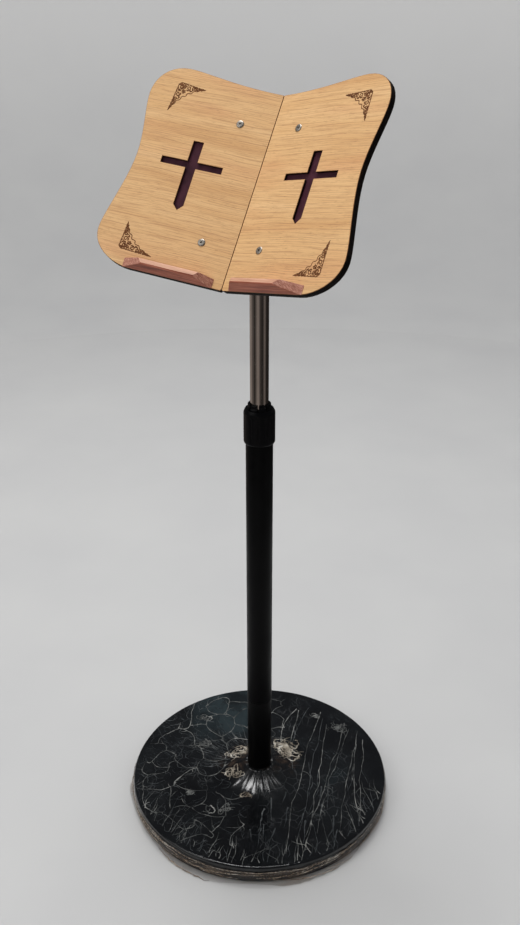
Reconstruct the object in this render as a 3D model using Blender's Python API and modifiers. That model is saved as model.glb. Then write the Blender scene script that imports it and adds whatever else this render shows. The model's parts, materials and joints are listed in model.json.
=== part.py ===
"""Floor-standing reading desk on a telescopic column.

An open-book desk of two layered wooden leaves tilts on a yoke, the yoke swivels on a polished tube,
the tube slides in a powder-coated column and is held by a collet clamp, and the column stands on a
round weighted base covered in marble-pattern film. Metres, +Z up, the reader stands at -Y, and the
origin is the middle of the base on the floor.
"""

import math

import bmesh
import bpy
from mathutils import Matrix, Vector

# ---------------------------------------------------------------- driving dimensions
GAP = 0.0003  # clearance between touching pieces

BASE_RADIUS = 0.205
FOOT_HEIGHT = 0.0027

COLUMN_RADIUS = 0.01905  # 38.1 mm tube
MAST_RADIUS = 0.0127  # 25.4 mm tube
POST_BOTTOM = 0.0453
POST_TOP = 0.1757
COLUMN_TOP = 0.6400
CLAMP_BOTTOM = 0.6120
CLAMP_TOP = 0.6620
NOSE_TOP = 0.6695

MAST_BOTTOM = 0.4000
MAST_TOP = 0.8740
SOCKET_BOTTOM = 0.8440
SOCKET_TOP = 0.8795

PIVOT_HEIGHT = 0.9049
PIVOT_SETBACK = 0.0360  # from the desk's front face to the tilt axis, square to the spine
PIVOT_UP = 0.1001  # from the spine's lower end to the tilt axis, along the spine
DESK_SLOPE = math.radians(56.3)  # spine above horizontal
LEAF_RISE = math.radians(15.1)  # each leaf's fold towards the reader

SPINE_LENGTH = 0.2570
FRONT_PANEL = 0.0030
BACK_PANEL = 0.0057
LEAF_BACK = FRONT_PANEL + GAP + BACK_PANEL  # depth of the leaf's back face

RIVET_U = 0.0440  # from the spine
RIVET_V = (0.0523, 0.2095)  # from the bottom edge
RIVET_SHANK = 0.0024

CROSS_U = 0.0886
CROSS_TIP_V = 0.0863
CROSS_SHOULDER_V = 0.0928
CROSS_ARM_V = (0.1420, 0.1502)
CROSS_TOP_V = 0.1770
CROSS_HALF_BAR = 0.0066
CROSS_HALF_ARM = 0.0412

LEDGE_U = (0.0130, 0.1345)  # ends where it meets the leaf
LEDGE_MITRES = (1.0, 1.55)  # how far each end is cut back, for each metre off the leaf
LEDGE_HEIGHT = 0.0115
# Section of the ledge, (out from the leaf, up): flat top, steep chamfer, face that slopes back under it.
LEDGE_SECTION = (
    (0.0, 0.0),
    (0.0022, 0.0),
    (0.0190, 0.0036),
    (0.0200, 0.0052),
    (0.0166, 0.0107),
    (0.0154, LEDGE_HEIGHT),
    (0.0, LEDGE_HEIGHT),
)
LEDGE_SCREW_U = (0.0420, 0.1020)
LEDGE_SCREW_V = 0.0062

BRACKET = 0.0030  # plate thickness
BRACKET_HALF = 0.0600
BRACKET_ENDS_V = (0.0380, 0.2238)
BRACKET_BAR = 0.0280  # height of each cross bar
BRACKET_WEB = 0.0240  # half width of the upright

LUG_HALF = 0.0050
CHEEK_INNER = 0.0065
CHEEK_OUTER = 0.0115

# Object frames whose Z axis lies along the world's X or Y.
ALONG_X = Matrix(((0, 0, 1, 0), (1, 0, 0, 0), (0, 1, 0, 0), (0, 0, 0, 1)))
ALONG_Y = Matrix(((1, 0, 0, 0), (0, 0, 1, 0), (0, -1, 0, 0), (0, 0, 0, 1)))
# A flat outline drawn in the world's XZ plane, extruded along Y.
IN_XZ = Matrix(((1, 0, 0, 0), (0, 0, -1, 0), (0, 1, 0, 0), (0, 0, 0, 1)))


# ---------------------------------------------------------------- scene and materials
def clear_scene():
    for obj in list(bpy.data.objects):
        bpy.data.objects.remove(obj, do_unlink=True)


def new_collection(name):
    group = bpy.data.collections.new(name)
    bpy.context.scene.collection.children.link(group)
    return group


def new_material(name, colour, roughness, metallic=0.0):
    mat = bpy.data.materials.new(name)
    mat.use_nodes = True
    shader = mat.node_tree.nodes["Principled BSDF"]
    shader.inputs["Base Color"].default_value = (*colour, 1.0)
    shader.inputs["Roughness"].default_value = roughness
    shader.inputs["Metallic"].default_value = metallic
    return mat


clear_scene()
PARTS = new_collection("reading_desk")
CUTTERS = new_collection("cutters")

CONCRETE = new_material("concrete", (0.35, 0.34, 0.32), 0.9)
MARBLE_FILM = new_material("marble_film", (0.02, 0.02, 0.025), 0.12)
CLEAR_FILM = new_material("clear_film", (0.5, 0.42, 0.35), 0.1)
RUBBER = new_material("rubber", (0.03, 0.03, 0.03), 0.8)
BLACK_COAT = new_material("black_powder_coat", (0.012, 0.012, 0.013), 0.45, 0.0)
BLACK_PLASTIC = new_material("black_plastic", (0.01, 0.01, 0.01), 0.4)
STAINLESS = new_material("polished_stainless", (0.62, 0.6, 0.58), 0.12, 1.0)
ZINC = new_material("zinc_plate", (0.6, 0.6, 0.58), 0.35, 1.0)
BEECH = new_material("beech_laminate", (0.62, 0.38, 0.2), 0.4)
DARK_CORE = new_material("burnt_core", (0.06, 0.035, 0.025), 0.7)
MAROON = new_material("maroon_sheet", (0.12, 0.015, 0.05), 0.6)
RED_WOOD = new_material("stained_wood", (0.3, 0.1, 0.06), 0.45)


# ---------------------------------------------------------------- helpers
def place(obj, mat, matrix=None, parent=None, group=None):
    """Gives an object its material, collection, parent and place in the parent's frame."""
    (group or PARTS).objects.link(obj)
    if mat:
        obj.data.materials.append(mat)
    obj.parent = parent
    obj.matrix_local = matrix or Matrix()
    return obj


def as_cutter(obj):
    obj.hide_render = True
    obj.display_type = "WIRE"
    return obj


def boolean(obj, other, operation="DIFFERENCE", solver="EXACT"):
    step = obj.modifiers.new(other.name, "BOOLEAN")
    step.operation = operation
    step.object = other
    step.solver = solver
    return obj


def shade(obj):
    obj.data.shade_smooth()
    obj.data.set_sharp_from_angle(angle=math.radians(35))
    return obj


def turned(name, profile, mat, matrix=None, parent=None, steps=32, closed=True, group=None):
    """A solid of revolution about the object's Z. The profile runs down its outer side.

    A closed profile makes a ring. An open one starts and ends on the axis.
    """
    mesh = bpy.data.meshes.new(name)
    count = len(profile)
    edges = [(i, (i + 1) % count) for i in range(count if closed else count - 1)]
    mesh.from_pydata([(radius, 0, height) for radius, height in profile], edges, [])
    obj = place(bpy.data.objects.new(name, mesh), mat, matrix, parent, group)
    screw = obj.modifiers.new("turn", "SCREW")
    screw.axis = "Z"
    screw.steps = steps
    screw.render_steps = steps
    screw.use_merge_vertices = True
    screw.merge_threshold = 1e-6
    screw.use_smooth_shade = True
    return obj


def tube(name, outer, inner, low, high, mat, parent=None, matrix=None, steps=32, edge=0.0004):
    """A tube from low to high with its outer edges broken."""
    profile = [
        (outer - edge, high),
        (outer, high - edge),
        (outer, low + edge),
        (outer - edge, low),
        (inner, low),
        (inner, high),
    ]
    return turned(name, profile, mat, matrix, parent, steps)


def rod(name, radius, low, high, mat=None, matrix=None, parent=None, steps=24, group=None):
    profile = [(0, high), (radius, high), (radius, low), (0, low)]
    return turned(name, profile, mat, matrix, parent, steps, closed=False, group=group)


def circle(centre, radius, steps=16):
    """Points of a circle, as a poly outline."""
    return [
        (
            centre[0] + radius * math.cos(2 * math.pi * i / steps),
            centre[1] + radius * math.sin(2 * math.pi * i / steps),
        )
        for i in range(steps)
    ]


def lobed(radius, depth, lobes, steps_per_lobe=8):
    """Outline of a hand knob: a circle whose radius waves in and out."""
    count = lobes * steps_per_lobe
    points = []
    for i in range(count):
        angle = 2 * math.pi * i / count
        reach = radius - depth * (1 - math.cos(lobes * angle)) / 2
        points.append((reach * math.cos(angle), reach * math.sin(angle)))
    return points


def poly_spline(curve, points):
    spline = curve.splines.new("POLY")
    spline.points.add(len(points) - 1)
    for point, (x, y) in zip(spline.points, points):
        point.co = (x, y, 0, 1)
    spline.use_cyclic_u = True


def bezier_spline(curve, knots, side=1, resolution=10):
    """A closed Bezier outline. Each knot is (point, handle in, handle out) for the right side."""
    spline = curve.splines.new("BEZIER")
    spline.bezier_points.add(len(knots) - 1)
    for point, (at, before, after) in zip(spline.bezier_points, knots):
        point.handle_left_type = point.handle_right_type = "FREE"
        point.co = (side * at[0], at[1], 0)
        point.handle_left = (side * before[0], before[1], 0)
        point.handle_right = (side * after[0], after[1], 0)
    spline.use_cyclic_u = True
    spline.resolution_u = resolution


def flat_piece(name, splines, thickness, mat=None, matrix=None, parent=None, group=None, bevel=0.0):
    """A flat plate cut to an outline with holes, centred on its object's XY plane."""
    curve = bpy.data.curves.new(name, "CURVE")
    curve.dimensions = "2D"
    curve.fill_mode = "BOTH"
    curve.extrude = thickness / 2 - bevel
    curve.bevel_depth = bevel
    curve.bevel_resolution = 1
    curve.offset = -bevel
    for draw in splines:
        draw(curve)
    drawn = bpy.data.objects.new(name + "_outline", curve)
    bpy.context.scene.collection.objects.link(drawn)
    graph = bpy.context.evaluated_depsgraph_get()
    mesh = bpy.data.meshes.new_from_object(drawn.evaluated_get(graph))
    bpy.data.objects.remove(drawn, do_unlink=True)
    bpy.data.curves.remove(curve)
    mesh.name = name
    cage = bmesh.new()
    cage.from_mesh(mesh)
    bmesh.ops.remove_doubles(cage, verts=cage.verts, dist=1e-6)
    bmesh.ops.recalc_face_normals(cage, faces=cage.faces)
    cage.to_mesh(mesh)
    cage.free()
    mesh.materials.clear()
    return shade(place(bpy.data.objects.new(name, mesh), mat, matrix, parent, group))


def outline(points):
    return lambda curve: poly_spline(curve, points)


def box_cutter(name, centre, size, parent=None, matrix=None):
    mesh = bpy.data.meshes.new(name)
    cage = bmesh.new()
    bmesh.ops.create_cube(cage, size=1.0)
    bmesh.ops.scale(cage, vec=size, verts=cage.verts)
    cage.to_mesh(mesh)
    cage.free()
    where = (matrix or Matrix()) @ Matrix.Translation(centre)
    return as_cutter(place(bpy.data.objects.new(name, mesh), None, where, parent, CUTTERS))


def new_frame(name, matrix, parent=None):
    """An empty that stands on a joint's axis and carries the pieces that move with it."""
    empty = bpy.data.objects.new(name, None)
    empty.empty_display_size = 0.02
    PARTS.objects.link(empty)
    empty.parent = parent
    empty.matrix_local = matrix
    return empty


def polar(radius, angle, height):
    return Vector((radius * math.cos(angle), radius * math.sin(angle), height))


# ---------------------------------------------------------------- base
DISC_RADIUS = 0.2026
DISC_BOTTOM = FOOT_HEIGHT + GAP
DISC_TOP = 0.0300
BOLT_HOLE = 0.0066
COUNTERBORE = (0.0145, 0.0141)  # radius, height of its ceiling
HUB_RADIUS = 0.0235
HUB_SPREAD = 0.0850  # where the film, drawn down from the hub, lies flat
FILM = 0.0008


def film_underside(radius):
    """Height of the film: flat on the disc, swept up in a hollow cone to the hub."""
    climb = max(0.0, (HUB_SPREAD - radius) / (HUB_SPREAD - HUB_RADIUS))
    return DISC_TOP + GAP + (POST_BOTTOM - DISC_TOP - GAP) * climb**2


def base_pieces():
    disc = [
        (DISC_RADIUS - 0.003, DISC_TOP),
        (DISC_RADIUS, DISC_TOP - 0.003),
        (DISC_RADIUS, DISC_BOTTOM + 0.002),
        (DISC_RADIUS - 0.002, DISC_BOTTOM),
        (COUNTERBORE[0], DISC_BOTTOM),
        (COUNTERBORE[0], COUNTERBORE[1]),
        (BOLT_HOLE, COUNTERBORE[1]),
        (BOLT_HOLE, DISC_TOP),
    ]
    turned("base_disc", disc, CONCRETE, steps=64)

    rings = [HUB_RADIUS + (HUB_SPREAD - HUB_RADIUS) * i / 4 for i in range(5)]
    under = [(COLUMN_RADIUS + GAP, POST_BOTTOM)] + [(r, film_underside(r)) for r in rings]
    under += [
        (DISC_RADIUS - 0.0028, DISC_TOP + GAP),
        (DISC_RADIUS + GAP, DISC_TOP - 0.0028),
        (DISC_RADIUS + GAP, DISC_BOTTOM + 0.0015),
    ]
    over = [(r, z + FILM) for r, z in under[:-2]]
    over += [
        (DISC_RADIUS + GAP + FILM, DISC_TOP - 0.0024),
        (DISC_RADIUS + GAP + FILM, DISC_BOTTOM + 0.0015),
    ]
    turned("marble_film", over + under[::-1], MARBLE_FILM, steps=64)

    band = [
        (BASE_RADIUS, 0.0150),
        (BASE_RADIUS, DISC_BOTTOM + 0.0005),
        (BASE_RADIUS - FILM, DISC_BOTTOM + 0.0005),
        (BASE_RADIUS - FILM, 0.0150),
    ]
    turned("rim_film", band, CLEAR_FILM, steps=64)

    for i in range(4):
        where = Matrix.Translation(polar(0.165, math.radians(45 + 90 * i), 0))
        pad = [(0, FOOT_HEIGHT), (0.0125, FOOT_HEIGHT), (0.0140, 0.0), (0, 0.0)]
        turned(f"foot_{i + 1}", pad, RUBBER, where, steps=20, closed=False)

    flange = [
        (BOLT_HOLE, POST_BOTTOM - GAP),
        (HUB_RADIUS - 0.001, POST_BOTTOM - GAP),
        (HUB_RADIUS - 0.0005, 0.0420),
        (HUB_RADIUS - 0.0005, 0.0352),
        (0.0400, 0.0352),
        (0.0400, DISC_TOP + GAP),
        (BOLT_HOLE, DISC_TOP + GAP),
    ]
    turned("hub_flange", flange, BLACK_COAT)

    head = [
        (0, 0.0619),
        (0.0050, 0.0619),
        (0.0059, 0.0610),
        (0.0059, 0.0118),
        (0.0096, 0.0118),
        (0.0100, 0.0112),
        (0.0100, 0.0046),
        (0, 0.0046),
    ]
    turned("base_bolt", head, ZINC, closed=False, steps=18)
    washer = [(0.0130, 0.0138), (0.0130, 0.0121), (0.0064, 0.0121), (0.0064, 0.0138)]
    turned("base_washer", washer, ZINC, steps=24)
    plug = [
        (0.0151, 0.0650),
        (0.0151, POST_BOTTOM + GAP),
        (0.0062, POST_BOTTOM + GAP),
        (0.0062, 0.0650),
    ]
    turned("post_plug", plug, ZINC, steps=32)


# ---------------------------------------------------------------- column
POST_RADIUS = 0.0187
POST_BORE = 0.0154
COLUMN_BORE = 0.01725
SET_SCREW_RADIUS = 0.0024


def set_screw(name, inner, outer, height, wall):
    """A socket set screw in the back of a tube, and the hole it sits in."""
    where = Matrix.Translation((0, 0, height)) @ ALONG_Y
    hole = as_cutter(rod(name + "_hole", SET_SCREW_RADIUS + GAP, inner - 0.004, outer + 0.004,
                         matrix=where, steps=12, group=CUTTERS))
    boolean(wall, hole)
    socket = 0.0012
    screw = [
        (0, outer - socket),
        (socket, outer - socket),
        (socket, outer),
        (SET_SCREW_RADIUS, outer),
        (SET_SCREW_RADIUS, inner),
        (0, inner),
    ]
    turned(name, screw, ZINC, where, steps=12, closed=False)


def column_pieces():
    post = tube("base_post", POST_RADIUS, POST_BORE, POST_BOTTOM, POST_TOP, BLACK_COAT)
    low = POST_TOP + GAP
    edge = 0.0012
    column = turned("column_tube", [
        (COLUMN_RADIUS - 0.0004, COLUMN_TOP),
        (COLUMN_RADIUS, COLUMN_TOP - 0.0004),
        (COLUMN_RADIUS, low + edge),
        (COLUMN_RADIUS - 0.3 * edge, low + 0.3 * edge),
        (COLUMN_RADIUS - edge, low),
        (COLUMN_BORE, low),
        (COLUMN_BORE, COLUMN_TOP),
    ], BLACK_COAT)
    coupler = [
        (COLUMN_BORE - GAP, POST_TOP + 0.0450),
        (COLUMN_BORE - GAP, POST_TOP + 2 * GAP),
        (POST_BORE - GAP, POST_TOP + 2 * GAP),
        (POST_BORE - GAP, POST_TOP - 0.0400),
        (0.0120, POST_TOP - 0.0400),
        (0.0120, POST_TOP + 0.0450),
    ]
    turned("post_coupler", coupler, ZINC)
    set_screw("post_set_screw", POST_BORE, POST_RADIUS - 0.0002, POST_TOP - 0.022, post)
    set_screw("column_set_screw", COLUMN_BORE, COLUMN_RADIUS - 0.0002, POST_TOP + 0.024, column)


# ---------------------------------------------------------------- collet clamp
COLLET_BORE = MAST_RADIUS + 0.0002
COLLET_SLOTS = 8
SLOT_ANGLE = math.radians(26 - 90)  # one slot looks this way
CLAMP_RADIUS = 0.02185
CLAMP_FLUTES = 12


def clamp_pieces():
    collet = turned("clamp_collet", [
        (0.0143, NOSE_TOP),
        (0.0154, NOSE_TOP - 0.0007),
        (0.0157, NOSE_TOP - 0.0022),
        (0.0154, NOSE_TOP - 0.0038),
        (0.0174, CLAMP_TOP + 0.0012),
        (0.0179, COLUMN_TOP + 0.0045),
        (0.0188, COLUMN_TOP + 0.0042),
        (0.0188, COLUMN_TOP + GAP),
        (COLUMN_BORE - GAP, COLUMN_TOP + GAP),
        (COLUMN_BORE - GAP, 0.6000),
        (COLLET_BORE, 0.6000),
        (COLLET_BORE, NOSE_TOP - 0.0012),
        (COLLET_BORE + 0.0006, NOSE_TOP),
    ], BLACK_PLASTIC)
    for i in range(COLLET_SLOTS // 2):
        turn = Matrix.Rotation(SLOT_ANGLE + i * 2 * math.pi / COLLET_SLOTS, 4, "Z")
        slot = box_cutter(f"collet_slot_{i + 1}", (0, 0, 0.6600), (0.05, 0.0021, 0.0240), matrix=turn)
        boolean(collet, slot)

    nut = turned("clamp_nut", [
        (0.0189, CLAMP_TOP),
        (0.0195, CLAMP_TOP - 0.0006),
        (CLAMP_RADIUS, CLAMP_TOP - 0.0050),
        (CLAMP_RADIUS, CLAMP_BOTTOM + 0.0030),
        (0.0203, CLAMP_BOTTOM),
        (COLUMN_RADIUS + GAP, CLAMP_BOTTOM),
        (COLUMN_RADIUS + GAP, COLUMN_TOP + 0.0050),
        (0.0184, COLUMN_TOP + 0.0070),
        (0.0182, CLAMP_TOP),
    ], BLACK_PLASTIC, steps=48)
    for i in range(CLAMP_FLUTES):
        angle = 2 * math.pi * i / CLAMP_FLUTES
        where = Matrix.Translation(polar(CLAMP_RADIUS + 0.0024, angle, (CLAMP_BOTTOM + CLAMP_TOP) / 2))
        flute = as_cutter(rod(f"clamp_flute_{i + 1}", 0.0028, -0.016, 0.016, matrix=where,
                              steps=12, group=CUTTERS))
        boolean(nut, flute)


# ---------------------------------------------------------------- sliding mast
def mast_pieces():
    tube("mast_tube", MAST_RADIUS, MAST_RADIUS - 0.0015, MAST_BOTTOM, MAST_TOP, STAINLESS)
    bush = [
        (COLUMN_BORE - 0.0008, 0.4300),
        (COLUMN_BORE - 0.0004, 0.4290),
        (COLUMN_BORE - 0.0004, 0.4060),
        (COLUMN_BORE - 0.0008, MAST_BOTTOM - 0.003),
        (0.0095, MAST_BOTTOM - 0.003),
        (0.0095, MAST_BOTTOM - GAP),
        (MAST_RADIUS + 0.0002, MAST_BOTTOM - GAP),
        (MAST_RADIUS + 0.0002, 0.4300),
    ]
    turned("guide_bush", bush, BLACK_PLASTIC)


# ---------------------------------------------------------------- head: socket, yoke, bolt
SOCKET_RADIUS = 0.0175
SOCKET_SCREW_Z = 0.8580
YOKE_BASE = SOCKET_TOP + GAP
YOKE_BASE_TOP = YOKE_BASE + 0.0040
CHEEK_RADIUS = 0.0130
TILT_BOLT_RADIUS = 0.0040


def head_pieces():
    cap = MAST_TOP + GAP
    socket = turned("head_socket", [
        (0.0044, SOCKET_TOP),
        (SOCKET_RADIUS - 0.001, SOCKET_TOP),
        (SOCKET_RADIUS, SOCKET_TOP - 0.001),
        (SOCKET_RADIUS, SOCKET_BOTTOM + 0.0008),
        (SOCKET_RADIUS - 0.0008, SOCKET_BOTTOM),
        (MAST_RADIUS + 0.0002, SOCKET_BOTTOM),
        (MAST_RADIUS + 0.0002, cap),
        (0.0044, cap),
    ], BLACK_COAT)
    screw_frame = new_frame("swivel_screw_axis", Matrix.Translation((0, 0, SOCKET_SCREW_Z)) @ ALONG_Y)
    hole = as_cutter(rod("swivel_screw_hole", 0.0032, 0.010, 0.024, parent=screw_frame,
                         steps=16, group=CUTTERS))
    boolean(socket, hole)

    knob = flat_piece("swivel_screw", [outline(lobed(0.0120, 0.0022, 6, 6))], 0.0100, BLACK_PLASTIC,
                      Matrix.Translation((0, 0, 0.0270)), screw_frame, bevel=0.001)
    shank = as_cutter(turned("swivel_screw_shank", [
        (0, 0.0250),
        (0.0060, 0.0250),
        (0.0060, 0.0200),
        (0.0029, 0.0195),
        (0.0029, 0.0135),
        (0.0022, 0.0129),
        (0, 0.0129),
    ], None, parent=screw_frame, steps=16, closed=False, group=CUTTERS))
    boolean(knob, shank, "UNION")

    yoke_pieces()


def cheek_outline():
    """One cheek seen from the side: square at its foot, round about the tilt axis."""
    foot = YOKE_BASE - PIVOT_HEIGHT
    arc = [math.radians(180 * i / 10) for i in range(11)]
    top = [(CHEEK_RADIUS * math.cos(a), CHEEK_RADIUS * math.sin(a)) for a in arc]
    return top + [(-CHEEK_RADIUS, foot), (CHEEK_RADIUS, foot)]


def yoke_pieces():
    pivot = Matrix.Translation((0, 0, PIVOT_HEIGHT))
    thickness = CHEEK_OUTER - CHEEK_INNER
    middle = (CHEEK_OUTER + CHEEK_INNER) / 2
    hole = circle((0, 0), TILT_BOLT_RADIUS + GAP)
    cheeks = [
        flat_piece(name, [outline(cheek_outline()), outline(hole)], thickness, BLACK_COAT,
                   pivot @ Matrix.Translation((x, 0, 0)) @ ALONG_X, group=group)
        for name, x, group in (("yoke", -middle, PARTS), ("yoke_cheek", middle, CUTTERS))
    ]
    yoke, other = cheeks
    boolean(yoke, as_cutter(other), "UNION")
    seat_mid = (YOKE_BASE + YOKE_BASE_TOP) / 2
    seat = box_cutter("yoke_seat", (0, 0, seat_mid), (2 * CHEEK_OUTER - 0.001, 0.0250, 0.0040))
    boolean(yoke, seat, "UNION")
    boolean(yoke, as_cutter(rod("yoke_screw_hole", 0.0044, YOKE_BASE - 0.002, YOKE_BASE_TOP + 0.002,
                                steps=16, group=CUTTERS)))

    top = YOKE_BASE_TOP + GAP
    turned("yoke_screw", [
        (0, top + 0.0028),
        (0.0050, top + 0.0028),
        (0.0060, top + 0.0014),
        (0.0060, top),
        (0.0040, top),
        (0.0040, MAST_TOP - 0.004),
        (0, MAST_TOP - 0.004),
    ], ZINC, steps=16, closed=False)

    for name, side in (("friction_washer_left", -1), ("friction_washer_right", 1)):
        inner, outer = sorted((side * (LUG_HALF + 0.00015), side * (CHEEK_INNER - 0.00015)))
        washer = [(0.0105, outer), (0.0105, inner), (0.0043, inner), (0.0043, outer)]
        turned(name, washer, BLACK_PLASTIC, pivot @ ALONG_X, steps=20)

    head = -CHEEK_OUTER - GAP
    turned("tilt_bolt", [
        (0, 0.0300),
        (0.0034, 0.0300),
        (TILT_BOLT_RADIUS, 0.0292),
        (TILT_BOLT_RADIUS, head),
        (0.0080, head),
        (0.0074, head - 0.0036),
        (0.0045, head - 0.0052),
        (0, head - 0.0056),
    ], ZINC, pivot @ ALONG_X, steps=20, closed=False)
    washer_low = CHEEK_OUTER + GAP
    knob_washer = [
        (0.0095, washer_low + 0.0014),
        (0.0095, washer_low),
        (0.0043, washer_low),
        (0.0043, washer_low + 0.0014),
    ]
    turned("knob_washer", knob_washer, ZINC, pivot @ ALONG_X, steps=20)

    knob_low = washer_low + 0.0014 + GAP
    knob_thick = 0.0180
    knob = flat_piece("tilt_knob", [outline(lobed(0.0210, 0.0045, 5, 8))], knob_thick, BLACK_PLASTIC,
                      pivot @ Matrix.Translation((knob_low + knob_thick / 2, 0, 0)) @ ALONG_X, bevel=0.002)
    boolean(knob, as_cutter(rod("tilt_knob_bore", TILT_BOLT_RADIUS + GAP, 0.0120, 0.0304,
                                matrix=pivot @ ALONG_X, steps=16, group=CUTTERS)))


# ---------------------------------------------------------------- desk
def leaf_knots():
    """The leaf's outline from the spine outwards: nicked corner, straight foot, full lower lobe,
    waisted side, smaller upper lobe and a top edge that falls away to the spine."""
    return [
        ((0.00015, 0.0020), (0.00015, 0.0820), (0.00015, 0.0020)),
        ((0.0015, 0.0), (0.0015, 0.0), (0.0400, 0.0)),
        ((0.1260, 0.0), (0.09, 0.0), (0.1520, 0.0)),
        ((0.1826, 0.0420), (0.1826, 0.0170), (0.1826, 0.0620)),
        ((0.1643, 0.1480), (0.1643, 0.1120), (0.1643, 0.1780)),
        ((0.1744, 0.2280), (0.1744, 0.2080), (0.1744, 0.2500)),
        ((0.1310, 0.2688), (0.1580, 0.2688), (0.1080, 0.2688)),
        ((0.00015, SPINE_LENGTH), (0.0700, 0.2578), (0.00015, 0.17)),
    ]


def cross_outline(side):
    """A plain cross whose lower end comes to a point."""
    bar, arm = CROSS_HALF_BAR, CROSS_HALF_ARM
    low, high = CROSS_ARM_V
    half = [
        (0, CROSS_TIP_V),
        (bar, CROSS_SHOULDER_V),
        (bar, low),
        (arm, low),
        (arm, high),
        (bar, high),
        (bar, CROSS_TOP_V),
    ]
    mirrored = [(-x, y) for x, y in half[:0:-1]]
    return [(side * (CROSS_U + x), y) for x, y in half + mirrored]


def leaf_holes(side):
    """Rivet and ledge-screw holes through both layers of a leaf."""
    holes = [circle((side * RIVET_U, v), RIVET_SHANK + GAP, 12) for v in RIVET_V]
    holes += [circle((side * u, LEDGE_SCREW_V), 0.0019, 10) for u in LEDGE_SCREW_U]
    return [outline(hole) for hole in holes]


def leaf_pieces(name, side, desk):
    spine = Matrix.Translation((0, -PIVOT_UP, PIVOT_SETBACK))
    leaf = new_frame(f"leaf_{name}", spine @ Matrix.Rotation(-side * LEAF_RISE, 4, "Y"), desk)
    shape = [lambda curve: bezier_spline(curve, leaf_knots(), side)] + leaf_holes(side)

    front = Matrix.Translation((0, 0, -FRONT_PANEL / 2))
    flat_piece(f"front_panel_{name}", shape + [outline(cross_outline(side))], FRONT_PANEL, BEECH, front, leaf)
    behind = -FRONT_PANEL - GAP
    back = flat_piece(f"back_panel_{name}", shape, BACK_PANEL, DARK_CORE,
                      Matrix.Translation((0, 0, behind - BACK_PANEL / 2)), leaf)

    pocket = (0.0900, 0.0980, 0.0009)
    middle = (side * CROSS_U, (CROSS_TIP_V + CROSS_TOP_V) / 2)
    cutter = box_cutter(f"inlay_pocket_{name}", (*middle, behind), (*pocket[:2], 2 * pocket[2]), leaf)
    boolean(back, cutter, solver="MANIFOLD")
    half = (pocket[0] / 2 - GAP, pocket[1] / 2 - GAP)
    corners = [(-1, -1), (1, -1), (1, 1), (-1, 1)]
    sheet = [(middle[0] + half[0] * x, middle[1] + half[1] * y) for x, y in corners]
    flat_piece(f"inlay_{name}", [outline(sheet)], 0.0005, MAROON,
               Matrix.Translation((0, 0, behind - pocket[2] / 2)), leaf)

    ledge_pieces(name, side, leaf)
    for v, level in zip(RIVET_V, ("lower", "upper")):
        tail = -LEAF_BACK - GAP - BRACKET - GAP
        rivet = [
            (0, 0.0004),
            (0.0011, 0.0004),
            (0.0011, 0.0013),
            (0.0034, 0.0013),
            (0.0046, 0.0009),
            (0.0049, GAP),
            (RIVET_SHANK, GAP),
            (RIVET_SHANK, tail),
            (0.0034, tail - 0.0006),
            (0.0034, tail - 0.0030),
            (0.0022, tail - 0.0044),
            (0, tail - 0.0046),
        ]
        where = Matrix.Translation((side * RIVET_U, v, 0))
        turned(f"rivet_{level}_{name}", rivet, ZINC, where, leaf, steps=16, closed=False)


def mitred_strip(name, section, ends, mitres, side, mat, matrix, parent):
    """A moulding along X whose two ends are mitred back towards its middle."""
    mesh = bpy.data.meshes.new(name)
    cage = bmesh.new()
    rows = [[cage.verts.new((side * (ends[0] + mitres[0] * z), y, z)) for z, y in section]]
    rows.append([cage.verts.new((side * (ends[1] - mitres[1] * z), y, z)) for z, y in section])
    count = len(section)
    for i in range(count):
        j = (i + 1) % count
        cage.faces.new((rows[0][i], rows[0][j], rows[1][j], rows[1][i]))
    for row in rows:
        cage.faces.new(row)
    bmesh.ops.recalc_face_normals(cage, faces=cage.faces)
    cage.to_mesh(mesh)
    cage.free()
    return shade(place(bpy.data.objects.new(name, mesh), mat, matrix, parent))


def ledge_pieces(name, side, leaf):
    """The wooden strip that stops a book sliding off, and its two screws from behind."""
    lift = Matrix.Translation((0, 0, GAP))
    ledge = mitred_strip(f"ledge_{name}", LEDGE_SECTION, LEDGE_U, LEDGE_MITRES, side, RED_WOOD, lift, leaf)

    for i, u in enumerate(LEDGE_SCREW_U):
        where = Matrix.Translation((side * u, LEDGE_SCREW_V, 0))
        pilot = as_cutter(rod(f"ledge_pilot_{name}_{i + 1}", 0.0019, -0.002, 0.0140, matrix=where,
                              parent=leaf, steps=10, group=CUTTERS))
        boolean(ledge, pilot)
        under = -LEAF_BACK - GAP
        screw = [
            (0, 0.0136),
            (0.0016, 0.0110),
            (0.0016, under),
            (0.0034, under),
            (0.0030, under - 0.0016),
            (0.0018, under - 0.0022),
            (0, under - 0.0022),
        ]
        turned(f"ledge_screw_{name}_{i + 1}", screw, ZINC, where, leaf, steps=12, closed=False)


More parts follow.
